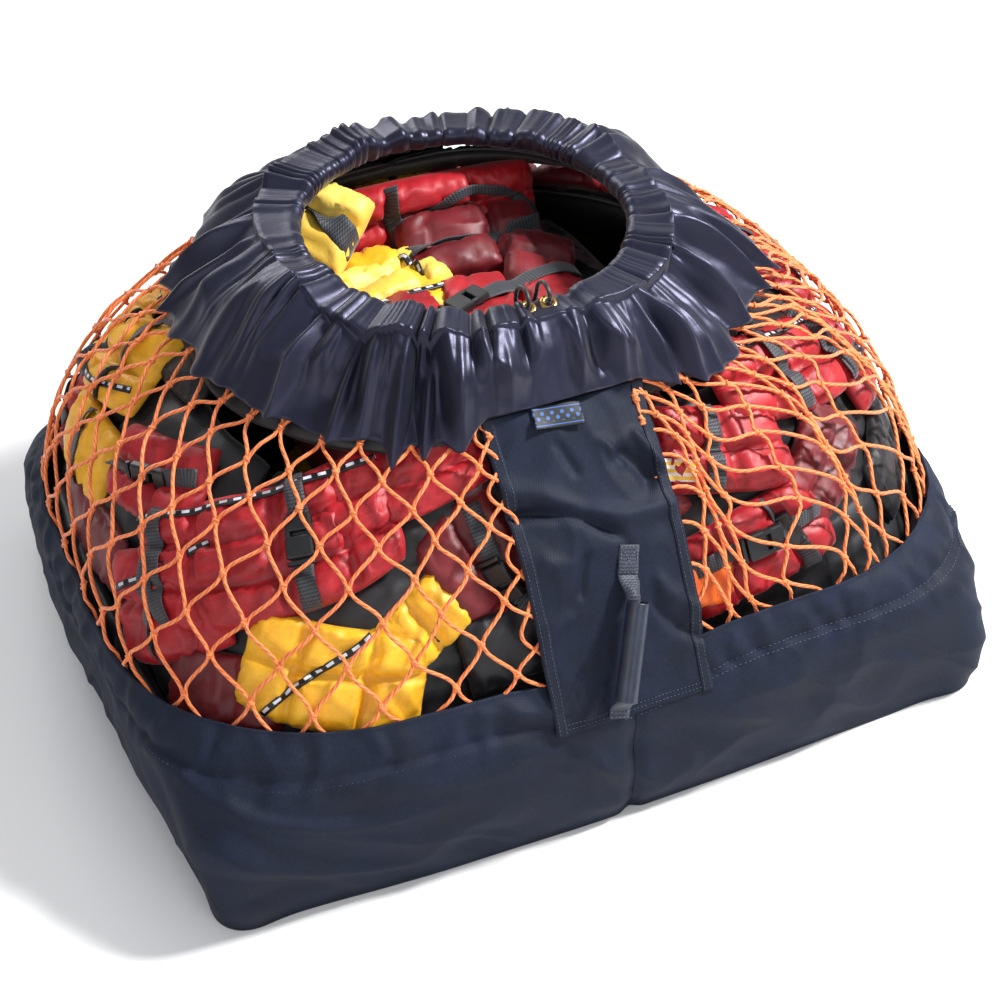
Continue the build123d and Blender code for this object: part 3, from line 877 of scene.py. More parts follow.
# ---------------------------------------------------------------- woven label
label_shade = Shader("label_weave", 0.5)
label_uv = label_shade.place("UV")
lattice_rate = 1 / 0.0042 / TRIM_WAVE
bars = label_shade.wave(lattice_rate, label_shade.place("UV", turn=(0, 0, math.pi / 4)), "X")
cross_bars = label_shade.wave(lattice_rate, label_shade.place("UV", turn=(0, 0, -math.pi / 4)), "X")
uv_parts = label_shade.node("SeparateXYZ", {0: label_uv})
from_middle = label_shade.math("ABSOLUTE", label_shade.math("SUBTRACT", uv_parts.outputs[1], 0.0135))
in_band = label_shade.math("LESS_THAN", from_middle, 0.0062)
edge_line = label_shade.math(
    "MULTIPLY",
    label_shade.math("GREATER_THAN", from_middle, 0.0092),
    label_shade.math("LESS_THAN", from_middle, 0.0104),
)
lattice = label_shade.math("GREATER_THAN", label_shade.math("MULTIPLY", bars, cross_bars), 0.42)
shown = label_shade.math("MAXIMUM", label_shade.math("MULTIPLY", lattice, in_band), edge_line)
label_shade.shade(shown, colour(15, 16, 20), colour(52, 96, 168), 0.2, 0.6)
label_shade.bump(label_shade.wave(300, label_uv, "Y"), 0.4, 0.0003)


def woven_label():
    """Black woven label with a plain blue lattice, sewn by its top edge and tilted a little."""
    low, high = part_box("woven_label")
    middle = np.array((low + high) / 2)
    strip = strips["front"]
    s0 = float(np.interp(middle[2], strip.run[:, 1], strip.along))
    across = np.linspace(-0.029, 0.029, 30)
    down = np.linspace(-0.0135, 0.0135, 15)
    a, b = np.meshgrid(across, down)
    tilt = math.radians(-7)
    x = middle[0] + a * math.cos(tilt) - b * math.sin(tilt)
    s = s0 + a * math.sin(tilt) + b * math.cos(tilt)
    lifted = 0.0042 + 0.0035 * (0.0135 - b) / 0.027 + 0.0012 * np.sin(a * 90)
    lifted = lifted + 0.003 * (a / 0.029) ** 2 * (b < 0)
    label = grid_piece("label_cloth", strip.flat(x, s, lifted), label_shade.material, thick=0.0008)
    keep(label, "bag", ["woven_label"])


woven_label()

# ---------------------------------------------------------------- carry handles
GRIP_START, GRIP_LENGTH, LOOP_LENGTH = 16 * MM, 115 * MM, 158 * MM
STANDOFF = 27.1 * MM  # from the panel's cloth to the middle of the grip
SWING_HEIGHT = 4 * MM
WEB_THICK = 2.0 * MM
grip_bumps = [(180, 4.0, 0.06, 0.001), (25, 2.0, 0.10, 0.003)]
grip_shade = mottled("grip_vinyl", 0.34, 45, (25, 31, 46), (40, 49, 68), grip_bumps, detail=4.0)
grip_shade.rough(grip_shade.ramp(grip_shade.noise(20), [(0.3, grey(0.28)), (0.7, grey(0.46))]))


def dress(name, material):
    """Gives a CAD node that stays in view its looks."""
    piece = nodes[name]
    piece.data.materials.clear()
    piece.data.materials.append(material)


class Seat:
    """A handle's own frame: along it, across it and away from the panel."""

    def __init__(self, end):
        spots = np.array([v.co for v in nodes[f"{end}_grip"].data.vertices])
        by_height = spots[spots[:, 2].argsort()]
        low, high = by_height[: len(spots) // 4], by_height[-len(spots) // 4 :]
        middle = (spots.max(0) + spots.min(0)) / 2
        self.along = high.mean(0) - low.mean(0)
        self.away = strips[end].normal(np.array(0.08))
        self.along -= self.away * (self.along @ self.away)
        self.along = unit(self.along)
        self.across = np.cross(self.along, self.away)
        self.origin = middle - self.along * (GRIP_START + GRIP_LENGTH / 2) - self.away * STANDOFF

    def at(self, across, along, away):
        places = np.broadcast_arrays(*(np.asarray(a, float) for a in (across, along, away)))
        across, along, away = (a[..., None] for a in places)
        return self.origin + across * self.across + along * self.along + away * self.away


def curve(points, count):
    """Points along a smooth line through these ones."""
    points = np.asarray(points, float)
    knots = lengths(points)
    where = np.linspace(0, knots[-1], count)
    line = np.stack([np.interp(where, knots, points[:, i]) for i in range(points.shape[1])], axis=1)
    relax(line, count // 7)
    return line


def handle(end):
    seat = Seat(end)
    half_way = GRIP_START + GRIP_LENGTH / 2
    lower = [(-0.008, 0.0016), (0.001, 0.0022), (0.007, 0.008), (0.012, 0.019)]
    lower += [(0.019, STANDOFF), (half_way, STANDOFF)]
    upper = [(LOOP_LENGTH - a, b) for a, b in lower]
    upper[-1] = (half_way, STANDOFF)
    for name, run, first, last in (
        ("lower", lower, 0.001, 0.013),
        ("upper", upper, LOOP_LENGTH - 0.001, LOOP_LENGTH - 0.013),
    ):
        run = curve(run, 60)
        line = seat.at(0.0, run[:, 0], run[:, 1])
        way = np.gradient(line, axis=0)
        out = np.cross(np.broadcast_to(seat.across, way.shape), way)
        out *= np.sign(out @ seat.away)[:, None]
        folded = smooth((run[:, 1] - 0.008) / 0.016)
        width = 0.025 - 0.0075 * folded
        mesher = Mesher()
        mesher.strap(line, out, width, WEB_THICK, curl=0.006 * folded)
        web = mesher.object(f"{end}_handle_{name}_webbing", webbing_navy)
        if name == "lower":
            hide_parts(f"{end}_handle_webbing")
        points = [Vector(seat.at(0.0, a, SWING_HEIGHT)) for a in (first, last)]
        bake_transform(web)
    sewn = Mesher()
    tall, wide = 0.034, 0.025
    for name, middle, height in (("top", LOOP_LENGTH + 0.017, tall), ("bottom", -0.004, 0.011)):
        rows = np.linspace(middle - height / 2, middle + height / 2, 12)
        line = seat.at(0.0, rows, 0.0032 + 0.0006 * np.sin(rows * 200))
        patch = Mesher()
        patch.strap(line, np.broadcast_to(seat.away, line.shape), wide, WEB_THICK)
        piece = patch.object(f"{end}_{name}_patch_webbing", webbing_navy)
        keep(piece, "bag", [f"{end}_handle_{name}_patch"])
        a, b = wide / 2 - 0.0025, height / 2 - 0.0025
        corners = [(-a, -b), (a, -b), (a, b), (-a, b), (-a, -b)]
        lines = list(zip(corners, corners[1:]))
        if name == "top":
            lines += [((-a, -b), (a, b)), ((-a, b), (a, -b))]
        for start, stop in lines:
            count = max(int(math.dist(start, stop) / 0.0034), 2)
            x, y = np.linspace(start[0], stop[0], count), np.linspace(start[1], stop[1], count)
            points = seat.at(x, middle + y, 0.0044)
            stitches(sewn, points, np.broadcast_to(seat.away, points.shape), 0.0024, 0.00042)
    keep(sewn.object(f"{end}_handle_stitching", thread_light), "bag")
    dress(f"{end}_grip", grip_shade.material)


for end in ("front", "back"):
    handle(end)

# ---------------------------------------------------------------- collar and casing
CASING_ROWS, SLOPE_ROWS = 15, 40
COLLAR_FOLDS = 32
TONGUES = 12
PLAIN_EDGE = 0.4705  # height of the collar's edge over the label, where it has no tongues
GROMMET_SPREAD = 13 * MM
GROMMET_TILT = math.radians(70)  # of its face, up from the front


def round_phase(angle, count, seed, wander):
    """A count of folds round the mouth, unevenly spaced."""
    around = np.stack([np.cos(angle), np.sin(angle), np.full_like(angle, 0.3 * seed)], axis=-1)
    shift = wander * noise(around, 0.5, seed)
    return angle / (2 * math.pi) * count + shift + 0.5 * wander * noise(around, 0.16, seed + 1)


def collar_piece():
    """The gathered band: over the drawcord, then out and down over the netting's top to its edge."""
    cols = 960
    angle = np.arange(cols) * 2 * math.pi / cols
    front = np.abs((angle - 1.5 * math.pi + math.pi) % (2 * math.pi) - math.pi)
    # calm smooths the casing where the grommets are. size and wide vary the folds round the mouth.
    calm = 1 - bell(front, 0.10)
    back = 0.5 + 0.5 * np.sin(angle)
    ring = np.stack([np.cos(angle), np.sin(angle), 0 * angle], axis=-1)  # also the way out
    size = np.clip(0.65 + 0.8 * noise(ring, 0.25, 11), 0.15, 1.5)
    wide = np.clip(0.62 + 0.9 * noise(ring, 0.32, 13), 0.12, 1.5)
    pleat = np.abs(np.sin(math.pi * round_phase(angle, 74, 3, 3.4))) ** 0.8
    phase = round_phase(angle, COLLAR_FOLDS, 5, 2.6)
    tongue = round_phase(angle, TONGUES, 8, 1.5)
    hump = 0.013 * back * (noise(ring, 0.34, 15) + 0.4) + 0.006 * noise(ring, 0.17, 16)
    up = np.array((0.0, 0.0, 1.0))
    rows = []
    turns = np.radians(np.linspace(-70, 122, CASING_ROWS))
    # Over the casing: turn goes from inside the mouth, over the top, to the outside.
    for turn in turns:
        over = smooth((turn + 0.6) / 2.2)
        big = np.abs(np.sin(math.pi * (phase + 0.10 * over))) ** 0.85
        radius = 0.0088 + 0.0040 * over + 0.0020 * (pleat - 0.6) * size
        radius = radius + (0.0040 + 0.0065 * over) * (big - 0.5) * wide
        radius = radius * calm + 0.0125 * (1 - calm)
        reach = MOUTH_RADIUS - radius * math.cos(turn)
        height = MOUTH[2] + np.maximum(radius, 0.0050) * math.sin(turn)
        height = height + hump * calm * smooth((turn + 1) / 1.5)
        rows.append(np.stack([reach * np.cos(angle), MOUTH[1] + reach * np.sin(angle), height], axis=-1))
    foot = rows[-1]
    # The lower edge hangs in pointed tongues, and is plain over the label.
    corner = 1 - np.abs(np.sin(math.pi * tongue))
    low_edge = COLLAR_LOW - 0.003 - 0.020 * corner * size + 0.004 * noise(ring, 0.1, 19)
    plain = 1 - smooth((front - 0.32) / 0.14)
    low_edge = low_edge * (1 - plain) + PLAIN_EDGE * plain
    edge = form.at(angle, low_edge, 0.0078 + 0.003 * corner)
    run = edge - foot
    across = np.linalg.norm(run[:, :2], axis=1)
    slant = np.hypot(across, run[:, 2])
    slope_out = ring * (-run[:, 2] / slant)[:, None] + up * (across / slant)[:, None]
    taut, hollow = corner**1.5, np.sin(math.pi * tongue) ** 2
    centre = np.array((0.0, MOUTH[1]))
    # Down the slope: share goes from the casing to the lower edge, kept clear of the netting.
    for i in range(1, SLOPE_ROWS + 1):
        share = i / SLOPE_ROWS
        swing = phase + 0.10 + 0.7 * share * noise(ring, 0.28, 23)
        big = np.abs(np.sin(math.pi * swing)) ** 0.85
        drift = ring * 0.25 + np.stack([0 * angle, 0 * angle, 0.030 * share + 0 * angle], axis=-1)
        ridges = creases(drift, 0.062, 51)
        fold = 0.0125 * (big - 0.5) * (1 - smooth(share / 0.62)) * wide
        fold = fold + 0.0190 * (ridges - 0.42) * bell(share - 0.48, 0.42) + 0.007 * noise(drift, 0.12, 53)
        reach_down = smooth((share - 0.10) / 0.5) * (1 - 0.62 * smooth((share - 0.7) / 0.3))
        fold = fold + 0.0110 * (taut - 0.42 * hollow) * reach_down
        spots = ring * 0.25 + (0, 0, share * 0.09)
        fine = 0.0032 * (creases(spots, 0.06, 33) - 0.4) + 0.0018 * noise(spots, 0.03, 29, 2)
        bulge = 0.0175 * math.sin(math.pi * share**0.62) * (0.7 + 0.4 * size)
        off = (bulge + fold * calm + fine * smooth(share / 0.3)) * smooth(share / 0.05 + 0.2)
        point = foot + run * share + slope_out * off[:, None]
        floor = form.at(angle, np.clip(point[:, 2], 0.1, RIM_TOP - 0.006), TUB_OUT)
        reach = np.linalg.norm(point[:, :2] - centre, axis=1)
        least = np.linalg.norm(floor[:, :2] - centre, axis=1)
        grow = (np.maximum(reach, least) / reach)[:, None]
        point[:, :2] = centre + (point[:, :2] - centre) * grow
        rows.append(point)
    grid = np.array(rows)
    relax(grid, 2, hold=6)
    piece = grid_piece("collar_cloth", grid, taffeta, wrap=True, thick=0.0009)
    keep(piece, "bag", ["collar_band", "drawcord_casing"])
    sewn = Mesher()
    line = grid[len(turns) + 2][::4]
    stitches(sewn, line, slope_out[::4], 0.0034, 0.0005, -0.0001)
    keep(sewn.object("collar_stitching", thread_navy), "bag")


collar_piece()

# ---------------------------------------------------------------- grommets, cord and cord lock
brass_bumps = [(900, 3.0, 0.15, 0.0002)]
brass = mottled("brass", 0.26, 300, (160, 122, 66), (216, 178, 108), brass_bumps, detail=4.0, Metallic=1.0)
lock_shade = mottled("lock_plastic", 0.36, 90, (17, 18, 21), (28, 30, 35), [(1400, 3.0, 0.12, 0.0003)])
steel = mottled("spring_steel", 0.28, 200, (130, 132, 136), (186, 188, 192), Metallic=1.0)
cord_shade = Shader("braided_cord", 0.5, Sheen_Weight=0.2)
braid_rate = 1 / 0.0028 / TRIM_WAVE
braid_a = cord_shade.wave(braid_rate, cord_shade.place(turn=(0.9, 0.5, 0.8)), "X", 1.0)
braid_b = cord_shade.wave(braid_rate, cord_shade.place(turn=(-0.9, -0.5, 2.3)), "Z", 1.0)
crossed = cord_shade.math("MULTIPLY", braid_a, braid_b)
cord_shade.shade(crossed, colour(12, 12, 15), colour(52, 53, 62), 0.1)
cord_shade.bump(crossed, 0.6, 0.0006)


def grommets():
    low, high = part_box("drawcord_grommets")
    middle = np.array((low + high) / 2)
    out = np.array((0, -math.cos(GROMMET_TILT), math.sin(GROMMET_TILT)))
    front = np.array((0, math.sin(GROMMET_TILT), math.cos(GROMMET_TILT)))
    right = np.array((1.0, 0, 0))
    seat = np.array((0, MOUTH[1] - MOUTH_RADIUS, MOUTH[2])) + out * 0.0136
    # radius and height of each ring, in mm
    profile = ((4.6, -2.2), (4.35, -0.4), (4.7, 1.0), (5.8, 1.9))
    profile += ((7.4, 2.0), (9.2, 1.4), (10.4, 0.5), (10.5, -0.4))
    mesher = Mesher()
    count = 44
    turn = np.arange(count) * 2 * math.pi / count
    for side in (-1, 1):
        place = seat + right * (middle[0] + side * GROMMET_SPREAD)
        ring = np.outer(np.cos(turn), right) + np.outer(np.sin(turn), front)
        rows = [place + ring * (radius * MM) + out * (height * MM) for radius, height in profile]
        mesher.add(np.array(rows).reshape(-1, 3), grid_faces(len(rows), count, True))
    keep(mesher.object("rolled_grommets", brass.material), "bag", ["drawcord_grommets"])


grommets()
for name, material, slot_name in (
    ("drawcord", cord_shade.material, "cord"),
    ("drawcord_knot", cord_shade.material, "cord"),
    ("cord_lock_barrel", lock_shade.material, "lock_plastic"),
    ("cord_lock_plunger", lock_shade.material, "lock_plastic"),
    ("cord_lock_spring", steel.material, "spring_steel"),
):
    dress(name, material)


# ---------------------------------------------------------------- life jackets
JACKET_COLOURS = {
    "red": ((124, 9, 19), (188, 24, 36)),
    "dark_red": ((74, 8, 16), (124, 18, 28)),
    "yellow": ((224, 154, 16), (250, 198, 44)),
    "pale_yellow": ((236, 186, 58), (252, 218, 104)),
    "orange": ((214, 84, 18), (242, 126, 40)),
    "black": ((9, 10, 13), (26, 27, 32)),
}
jacket_cloths = {
    name: woven(f"jacket_{name}", colour(*dark), colour(*light), 0.0008, 0.46, 0.10, 16.0, 0.3).material
    for name, (dark, light) in JACKET_COLOURS.items()
}
piping_shade = Shader("jacket_piping", 0.4)
piping_uv = piping_shade.node("SeparateXYZ", {0: piping_shade.place("UV")})
on_line = piping_shade.math("LESS_THAN", piping_shade.math("ABSOLUTE", piping_uv.outputs[0]), 0.0019)
dashes = piping_shade.wave(1 / 0.0085 / TRIM_WAVE, piping_shade.place("UV"), "Y")
lit = piping_shade.math("MULTIPLY", on_line, dashes)
piping_shade.shade(lit, colour(14, 15, 19), colour(206, 212, 222), 0.36, 0.44)
buckle_shade = mottled("buckle_plastic", 0.38, 80, (14, 15, 17), (24, 25, 29))
tag_shade = Shader("care_tag", 0.6)
tag_bands = tag_shade.wave(38, tag_shade.place("UV"), "Y")
tag_shade.shade(tag_bands, colour(236, 236, 228), colour(244, 196, 60), 0.4, 0.6)


def on_form(angle, z, turn=0.0, depth=0.02, tilt=(0.0, 0.0)):
    """A place for a pad under the netting: right and up along the bag's surface from this spot."""
    angle, turn = math.radians(angle), math.radians(turn)
    wide = np.linalg.norm(form.on(angle + 0.01, z) - form.on(angle - 0.01, z)) / 0.02
    tall = np.linalg.norm(form.on(angle, z + 0.01) - form.on(angle, z - 0.01)) / 0.02

    def place(a, b, off):
        right = a * math.cos(turn) - b * math.sin(turn)
        up = a * math.sin(turn) + b * math.cos(turn)
        height = np.clip(z + up / tall, 0.012, RIM_TOP - 0.014)
        sunk = depth - tilt[0] * a - tilt[1] * b
        return form.at(angle + right / wide, height, off - np.maximum(sunk, 0.007))

    return place


def sector(first, last, low, high, depth):
    """A place for a pad that fills one sector of the bag. a and b run over it from -0.5 to 0.5."""
    first, last = math.radians(first), math.radians(last)

    def place(a, b, off):
        angle = (first + last) / 2 + a * (last - first)
        return form.at(angle, (low + high) / 2 + b * (high - low), off - depth)

    return place


def in_space(centre, right, up):
    """A place for a flat pad about a centre, in metres."""
    centre, right, up = (np.array(v, float) for v in (centre, right, up))
    right = unit(right)
    up -= right * (up @ right)
    up = unit(up)
    out = np.cross(right, up)

    def place(a, b, off):
        a, b, off = np.broadcast_arrays(a, b, off)
        return centre + a[..., None] * right + b[..., None] * up + off[..., None] * out

    return place


class Pad:
    """One sewn foam panel of a jacket: two faces of cloth over foam, with stitched channels."""

    def __init__(
        self, place, size, channels=(), cross=(), seed=0, wrinkle=0.0032, down=0.45, scale=1.0
    ):
        """size is its width, height and thickness. channels and cross place its seams, from -1 to 1.
        down is its underside's share of the thickness, scale the metres for a unit of width or height."""
        self.place, self.seed = place, seed
        self.width, self.height, self.thick = size
        self.channels, self.cross, self.wrinkle = channels, cross, wrinkle
        self.down, self.scale = down, scale

    def shape(self, u, v):
        """Where (u, v), each from -1 to 1, lies on the pad, with rounded corners and uneven edges."""
        wander = np.stack([u * 1.3, v * 1.3, np.full_like(u, self.seed * 1.7)], axis=-1)
        a = u * (1 - 0.055 * v**4) + 0.022 * noise(wander, 0.8, self.seed)
        b = v * (1 - 0.055 * u**4) + 0.028 * noise(wander, 0.7, self.seed + 3)
        return a * self.width / 2, b * self.height / 2

    def from_seams(self, u, v):
        """How far each seam is, in metres."""
        for along, seams, span in ((v, self.channels, self.height), (u, self.cross, self.width)):
            for seam in seams:
                yield (along - seam) * span / 2 * self.scale

    def rise(self, u, v):
        """How high the upper face stands, and how much of its height is left near the edge."""
        a, b = self.shape(u, v)
        edge = np.clip((1 - np.abs(u) ** 6) * (1 - np.abs(v) ** 6), 0, 1) ** 0.42
        spot = self.place(a, b, np.zeros_like(a))
        sewn, near = np.ones_like(u), np.zeros_like(u)
        for far in self.from_seams(u, v):
            sewn = sewn * (1 - 0.74 * bell(far, 0.0062))
            near = near + bell(far, 0.020)
        near = near + bell((1 - np.abs(v)) * self.height / 2 * self.scale, 0.016)
        puckers = 0.0016 * noise(spot, 0.011, self.seed + 7) * np.minimum(near, 1)
        wrinkles = self.wrinkle * (creases(spot, 0.075, self.seed) - 0.38)
        wrinkles = wrinkles + 0.4 * self.wrinkle * noise(spot, 0.04, 2)
        slump = 1 + 0.16 * noise(spot, 0.12, self.seed + 9)
        return edge * (self.thick * sewn * slump + wrinkles + puckers), edge

    def top(self, u, v, extra=0.0):
        u, v = np.broadcast_arrays(np.asarray(u, float), np.asarray(v, float))
        a, b = self.shape(u, v)
        return self.place(a, b, self.rise(u, v)[0] + extra)

    def normal(self, u, v):
        e = 0.03
        out = np.cross(self.top(u + e, v) - self.top(u - e, v), self.top(u, v + e) - self.top(u, v - e))
        return unit(out)

    def piece(self, name, cloth, body="bag", stands_for=(), step=0.0048, settles=True):
        cols = int(np.clip(self.width * self.scale / step, 12, 90))
        rows = int(np.clip(self.height * self.scale / step, 12, 70))
        u, v = np.meshgrid(np.linspace(-1, 1, cols), np.linspace(-1, 1, rows))
        u, v = np.sin(u * 1.45) / math.sin(1.45), np.sin(v * 1.35) / math.sin(1.35)  # closer at the edges
        a, b = self.shape(u, v)
        rise, edge = self.rise(u, v)
        upper = self.place(a, b, rise).reshape(-1, 3)
        lower = self.place(a, b, -edge * self.thick * self.down).reshape(-1, 3)
        index = np.arange(rows * cols).reshape(rows, cols)
        shaded_under_cloth = index + rows * cols
        for border in (np.s_[0, :], np.s_[-1, :], np.s_[:, 0], np.s_[:, -1]):
            shaded_under_cloth[border] = index[border]
        faces = []
        for i in range(rows - 1):
            for j in range(cols - 1):
                faces.append((index[i, j], index[i, j + 1], index[i + 1, j + 1], index[i + 1, j]))
                faces.append((shaded_under_cloth[i, j], shaded_under_cloth[i + 1, j], shaded_under_cloth[i + 1, j + 1], shaded_under_cloth[i, j + 1]))
        used = np.zeros(2 * rows * cols, bool)
        used[np.array(faces)] = True
        renumbered = (np.cumsum(used) - 1)[np.array(faces)]
        points = np.concatenate([upper, lower])[used]
        made = new_piece(name, points.tolist(), renumbered.tolist(), jacket_cloths[cloth])
        if settles:
            held = np.maximum(bell(1 - np.abs(v), 0.10), bell(1 - np.abs(u), 0.10))
            for far in self.from_seams(u, v):
                held = np.maximum(held, bell(far, 0.006))
            settling.append((made, np.concatenate([held.ravel(), np.ones(held.size)])[used]))
        keep(made, body, stands_for)


SETTLE_FRAMES = 12
SETTLE_LIMIT = 4.0 * MM
settling = []  # jackets' pieces and how firmly each point is held, 0 to 1


def settle():
    """Cloth simulation: the faces, cut larger than the foam, puff up and wrinkle between seams."""
    scene = bpy.context.scene
    rest = []
    for made, held in settling:
        pins = made.vertex_groups.new(name="pins")
        for level in range(1, 11):
            share = level / 10
            pins.add(np.flatnonzero(np.round(held * 10) == level).tolist(), share, "REPLACE")
        cloth = made.modifiers.new("settle", "CLOTH")
        fabric = cloth.settings
        fabric.quality, fabric.mass, fabric.air_damping = 4, 0.15, 4
        fabric.tension_stiffness = fabric.compression_stiffness = 18
        fabric.shear_stiffness, fabric.bending_stiffness = 6, 0.05
        fabric.shrink_min = -0.07
        fabric.vertex_group_mass, fabric.pin_stiffness = "pins", 1
        fabric.use_pressure, fabric.uniform_pressure_force = True, 2.0
        fabric.effector_weights.gravity = 0
        cloth.collision_settings.use_collision = False
        cloth.point_cache.frame_start, cloth.point_cache.frame_end = 1, SETTLE_FRAMES
        rest.append(np.array([v.co for v in made.data.vertices]))
    for number in range(1, SETTLE_FRAMES + 1):
        scene.frame_set(number)
    graph = bpy.context.evaluated_depsgraph_get()
    for (made, _), before in zip(settling, rest):
        after = np.array([v.co for v in made.evaluated_get(graph).data.vertices])
        moved = after - before
        far = np.linalg.norm(moved, axis=1)
        moved *= (SETTLE_LIMIT * np.tanh(far / SETTLE_LIMIT) / np.maximum(far, 1e-9))[:, None]
        made.modifiers.remove(made.modifiers["settle"])
        made.data.vertices.foreach_set("co", (before + moved).astype(np.float32).ravel())
        made.data.update()
    scene.frame_set(1)


class Trim:
    """Straps, piping and buckles that lie on pads, gathered for one body."""

    def __init__(self, body):
        self.body = body
        self.straps, self.piping, self.buckles, self.thread = Mesher(), Mesher(), Mesher(), Mesher()

    def run(self, pad, path, extra, count=44):
        places = curve(path, count)
        line = pad.top(places[:, 0], places[:, 1], extra)
        relax(line, 5)
        out = pad.normal(places[:, 0], places[:, 1])
        relax(out, 6)
        return line, unit(out)

    def strap(self, pad, path, width=0.025, extra=0.0046):
        line, out = self.run(pad, path, extra)
        self.straps.strap(line, out, width, 0.0018)
        return line, out

    def pipe(self, pad, path, width=0.0085):
        line, out = self.run(pad, path, 0.0036)
        self.piping.strap(line, out, width, 0.0026)

    def block(self, centre, way, out, size):
        """A rounded plastic block: size is along the strap, across it and thick."""
        across = np.cross(out, way)
        a, b, c = (s / 2 for s in size)
        ring = [(1, 0.72), (0.86, 1), (-0.86, 1), (-1, 0.72)]
        ring += [(-x, -y) for x, y in ring]
        rows = [
            [centre + way * a * x * inset + across * b * y * inset + out * c * level for x, y in ring]
            for level, inset in ((-1, 1.0), (0.45, 1.0), (0.8, 0.95), (1.0, 0.84))
        ]
        rows.append([centre + out * c] * len(ring))
        points = np.array(rows).reshape(-1, 3)
        self.buckles.add(points, grid_faces(len(rows), len(ring), True))

    def buckle(self, line, out, share):
        """A side-release buckle on a strap, part of the way along it."""
        i = int(share * (len(line) - 1))
        way = line[min(i + 2, len(line) - 1)] - line[i - 2]
        way = unit(way)
        n = out[i] - way * (out[i] @ way)
        n = unit(n)
        across = np.cross(n, way)
        base = line[i] + n * 0.0035
        self.block(base - way * 0.012, way, n, (0.026, 0.033, 0.0095))
        self.block(base + way * 0.0155, way, n, (0.018, 0.031, 0.0085))
        self.block(base + way * 0.0035 + across * 0.0125, way, n, (0.012, 0.0062, 0.0075))
        self.block(base + way * 0.0035 - across * 0.0125, way, n, (0.012, 0.0062, 0.0075))
        self.block(base - way * 0.030, way, n, (0.005, 0.032, 0.006))

    def sew(self, pad, path, step=0.0052):
        places = curve(path, 200)
        line = pad.top(places[:, 0], places[:, 1], 0.0006)
        run = lengths(line)
        where = np.arange(0.004, run[-1] - 0.004, step)
        points = np.stack([np.interp(where, run, line[:, i]) for i in range(3)], axis=1)
        out = pad.normal(*(np.interp(where, run, places[:, i]) for i in (0, 1)))
        stitches(self.thread, points, out, 0.0032, 0.0005)

    def finish(self, name):
        for mesher, part, material in (
            (self.straps, "straps", webbing_black),
            (self.piping, "piping", piping_shade.material),
            (self.buckles, "buckles", buckle_shade.material),
            (self.thread, "stitching", thread_navy),
        ):
            if mesher.points:
                piece = mesher.object(f"{name}_{part}", material, flat=part == "buckles")
                keep(piece, self.body)


load_trim = Trim("bag")

# Dark jackets deep inside, one for each of the imported ones, that fill the bag behind the others. Their
# black is partly black jacket cloth and partly painted shade: it darkens the gaps between the outer
# jackets, where the inside of the bag lies in shadow.
SECTORS = {
    "front_left": (-153, -91),
    "left": (-206, -152),
    "back_left": (91, 154),
    "front_right": (-89, -27),
    "right": (-28, 26),
    "back_right": (26, 89),
}
for number, (name, (first, last)) in enumerate(SECTORS.items()):
    for tier, low, high, depth in (("lower", 0.016, 0.205, 0.030), ("upper", 0.19, 0.44, 0.052)):
        place, solid = sector(first, last, low, high, depth), f"packed_jacket_{name}_{tier}"
        seams = (-0.35, 0.35), (-0.4, 0.3)
        inner = Pad(place, (1.02, 1.02, 0.016), *seams, number + 40, wrinkle=0.006, scale=0.30)
        inner.piece(f"packed_{name}_{tier}_inside", "black", "bag", [solid], step=0.0070, settles=False)
# More of them fill the crown, where the collar starts, in black that is likewise partly painted shade.
for number, (name, (first, last)) in enumerate(SECTORS.items()):
    place = sector(first - 2, last + 2, 0.452, 0.523, 0.0165)
    seams = (0.0,), (-0.3, 0.4)
    crown = Pad(place, (1.02, 1.0, 0.0085), *seams, number + 70, wrinkle=0.004, scale=0.25)
    crown.piece(f"packed_{name}_crown", "black", step=0.0070, settles=False)
for number, cloth in ((1, "dark_red"), (2, "yellow"), (3, "dark_red")):
    solid = f"packed_jacket_middle_{number}"
    low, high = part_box(solid)
    place = in_space((low + high) / 2, (1, 0, 0), (0, 1, 0))
    lying = Pad(place, (0.45, 0.37, 0.050), (-0.3, 0.3), (), number, down=0.95)
    lying.piece(f"packed_middle_{number}", cloth, "bag", [solid], step=0.008, settles=False)

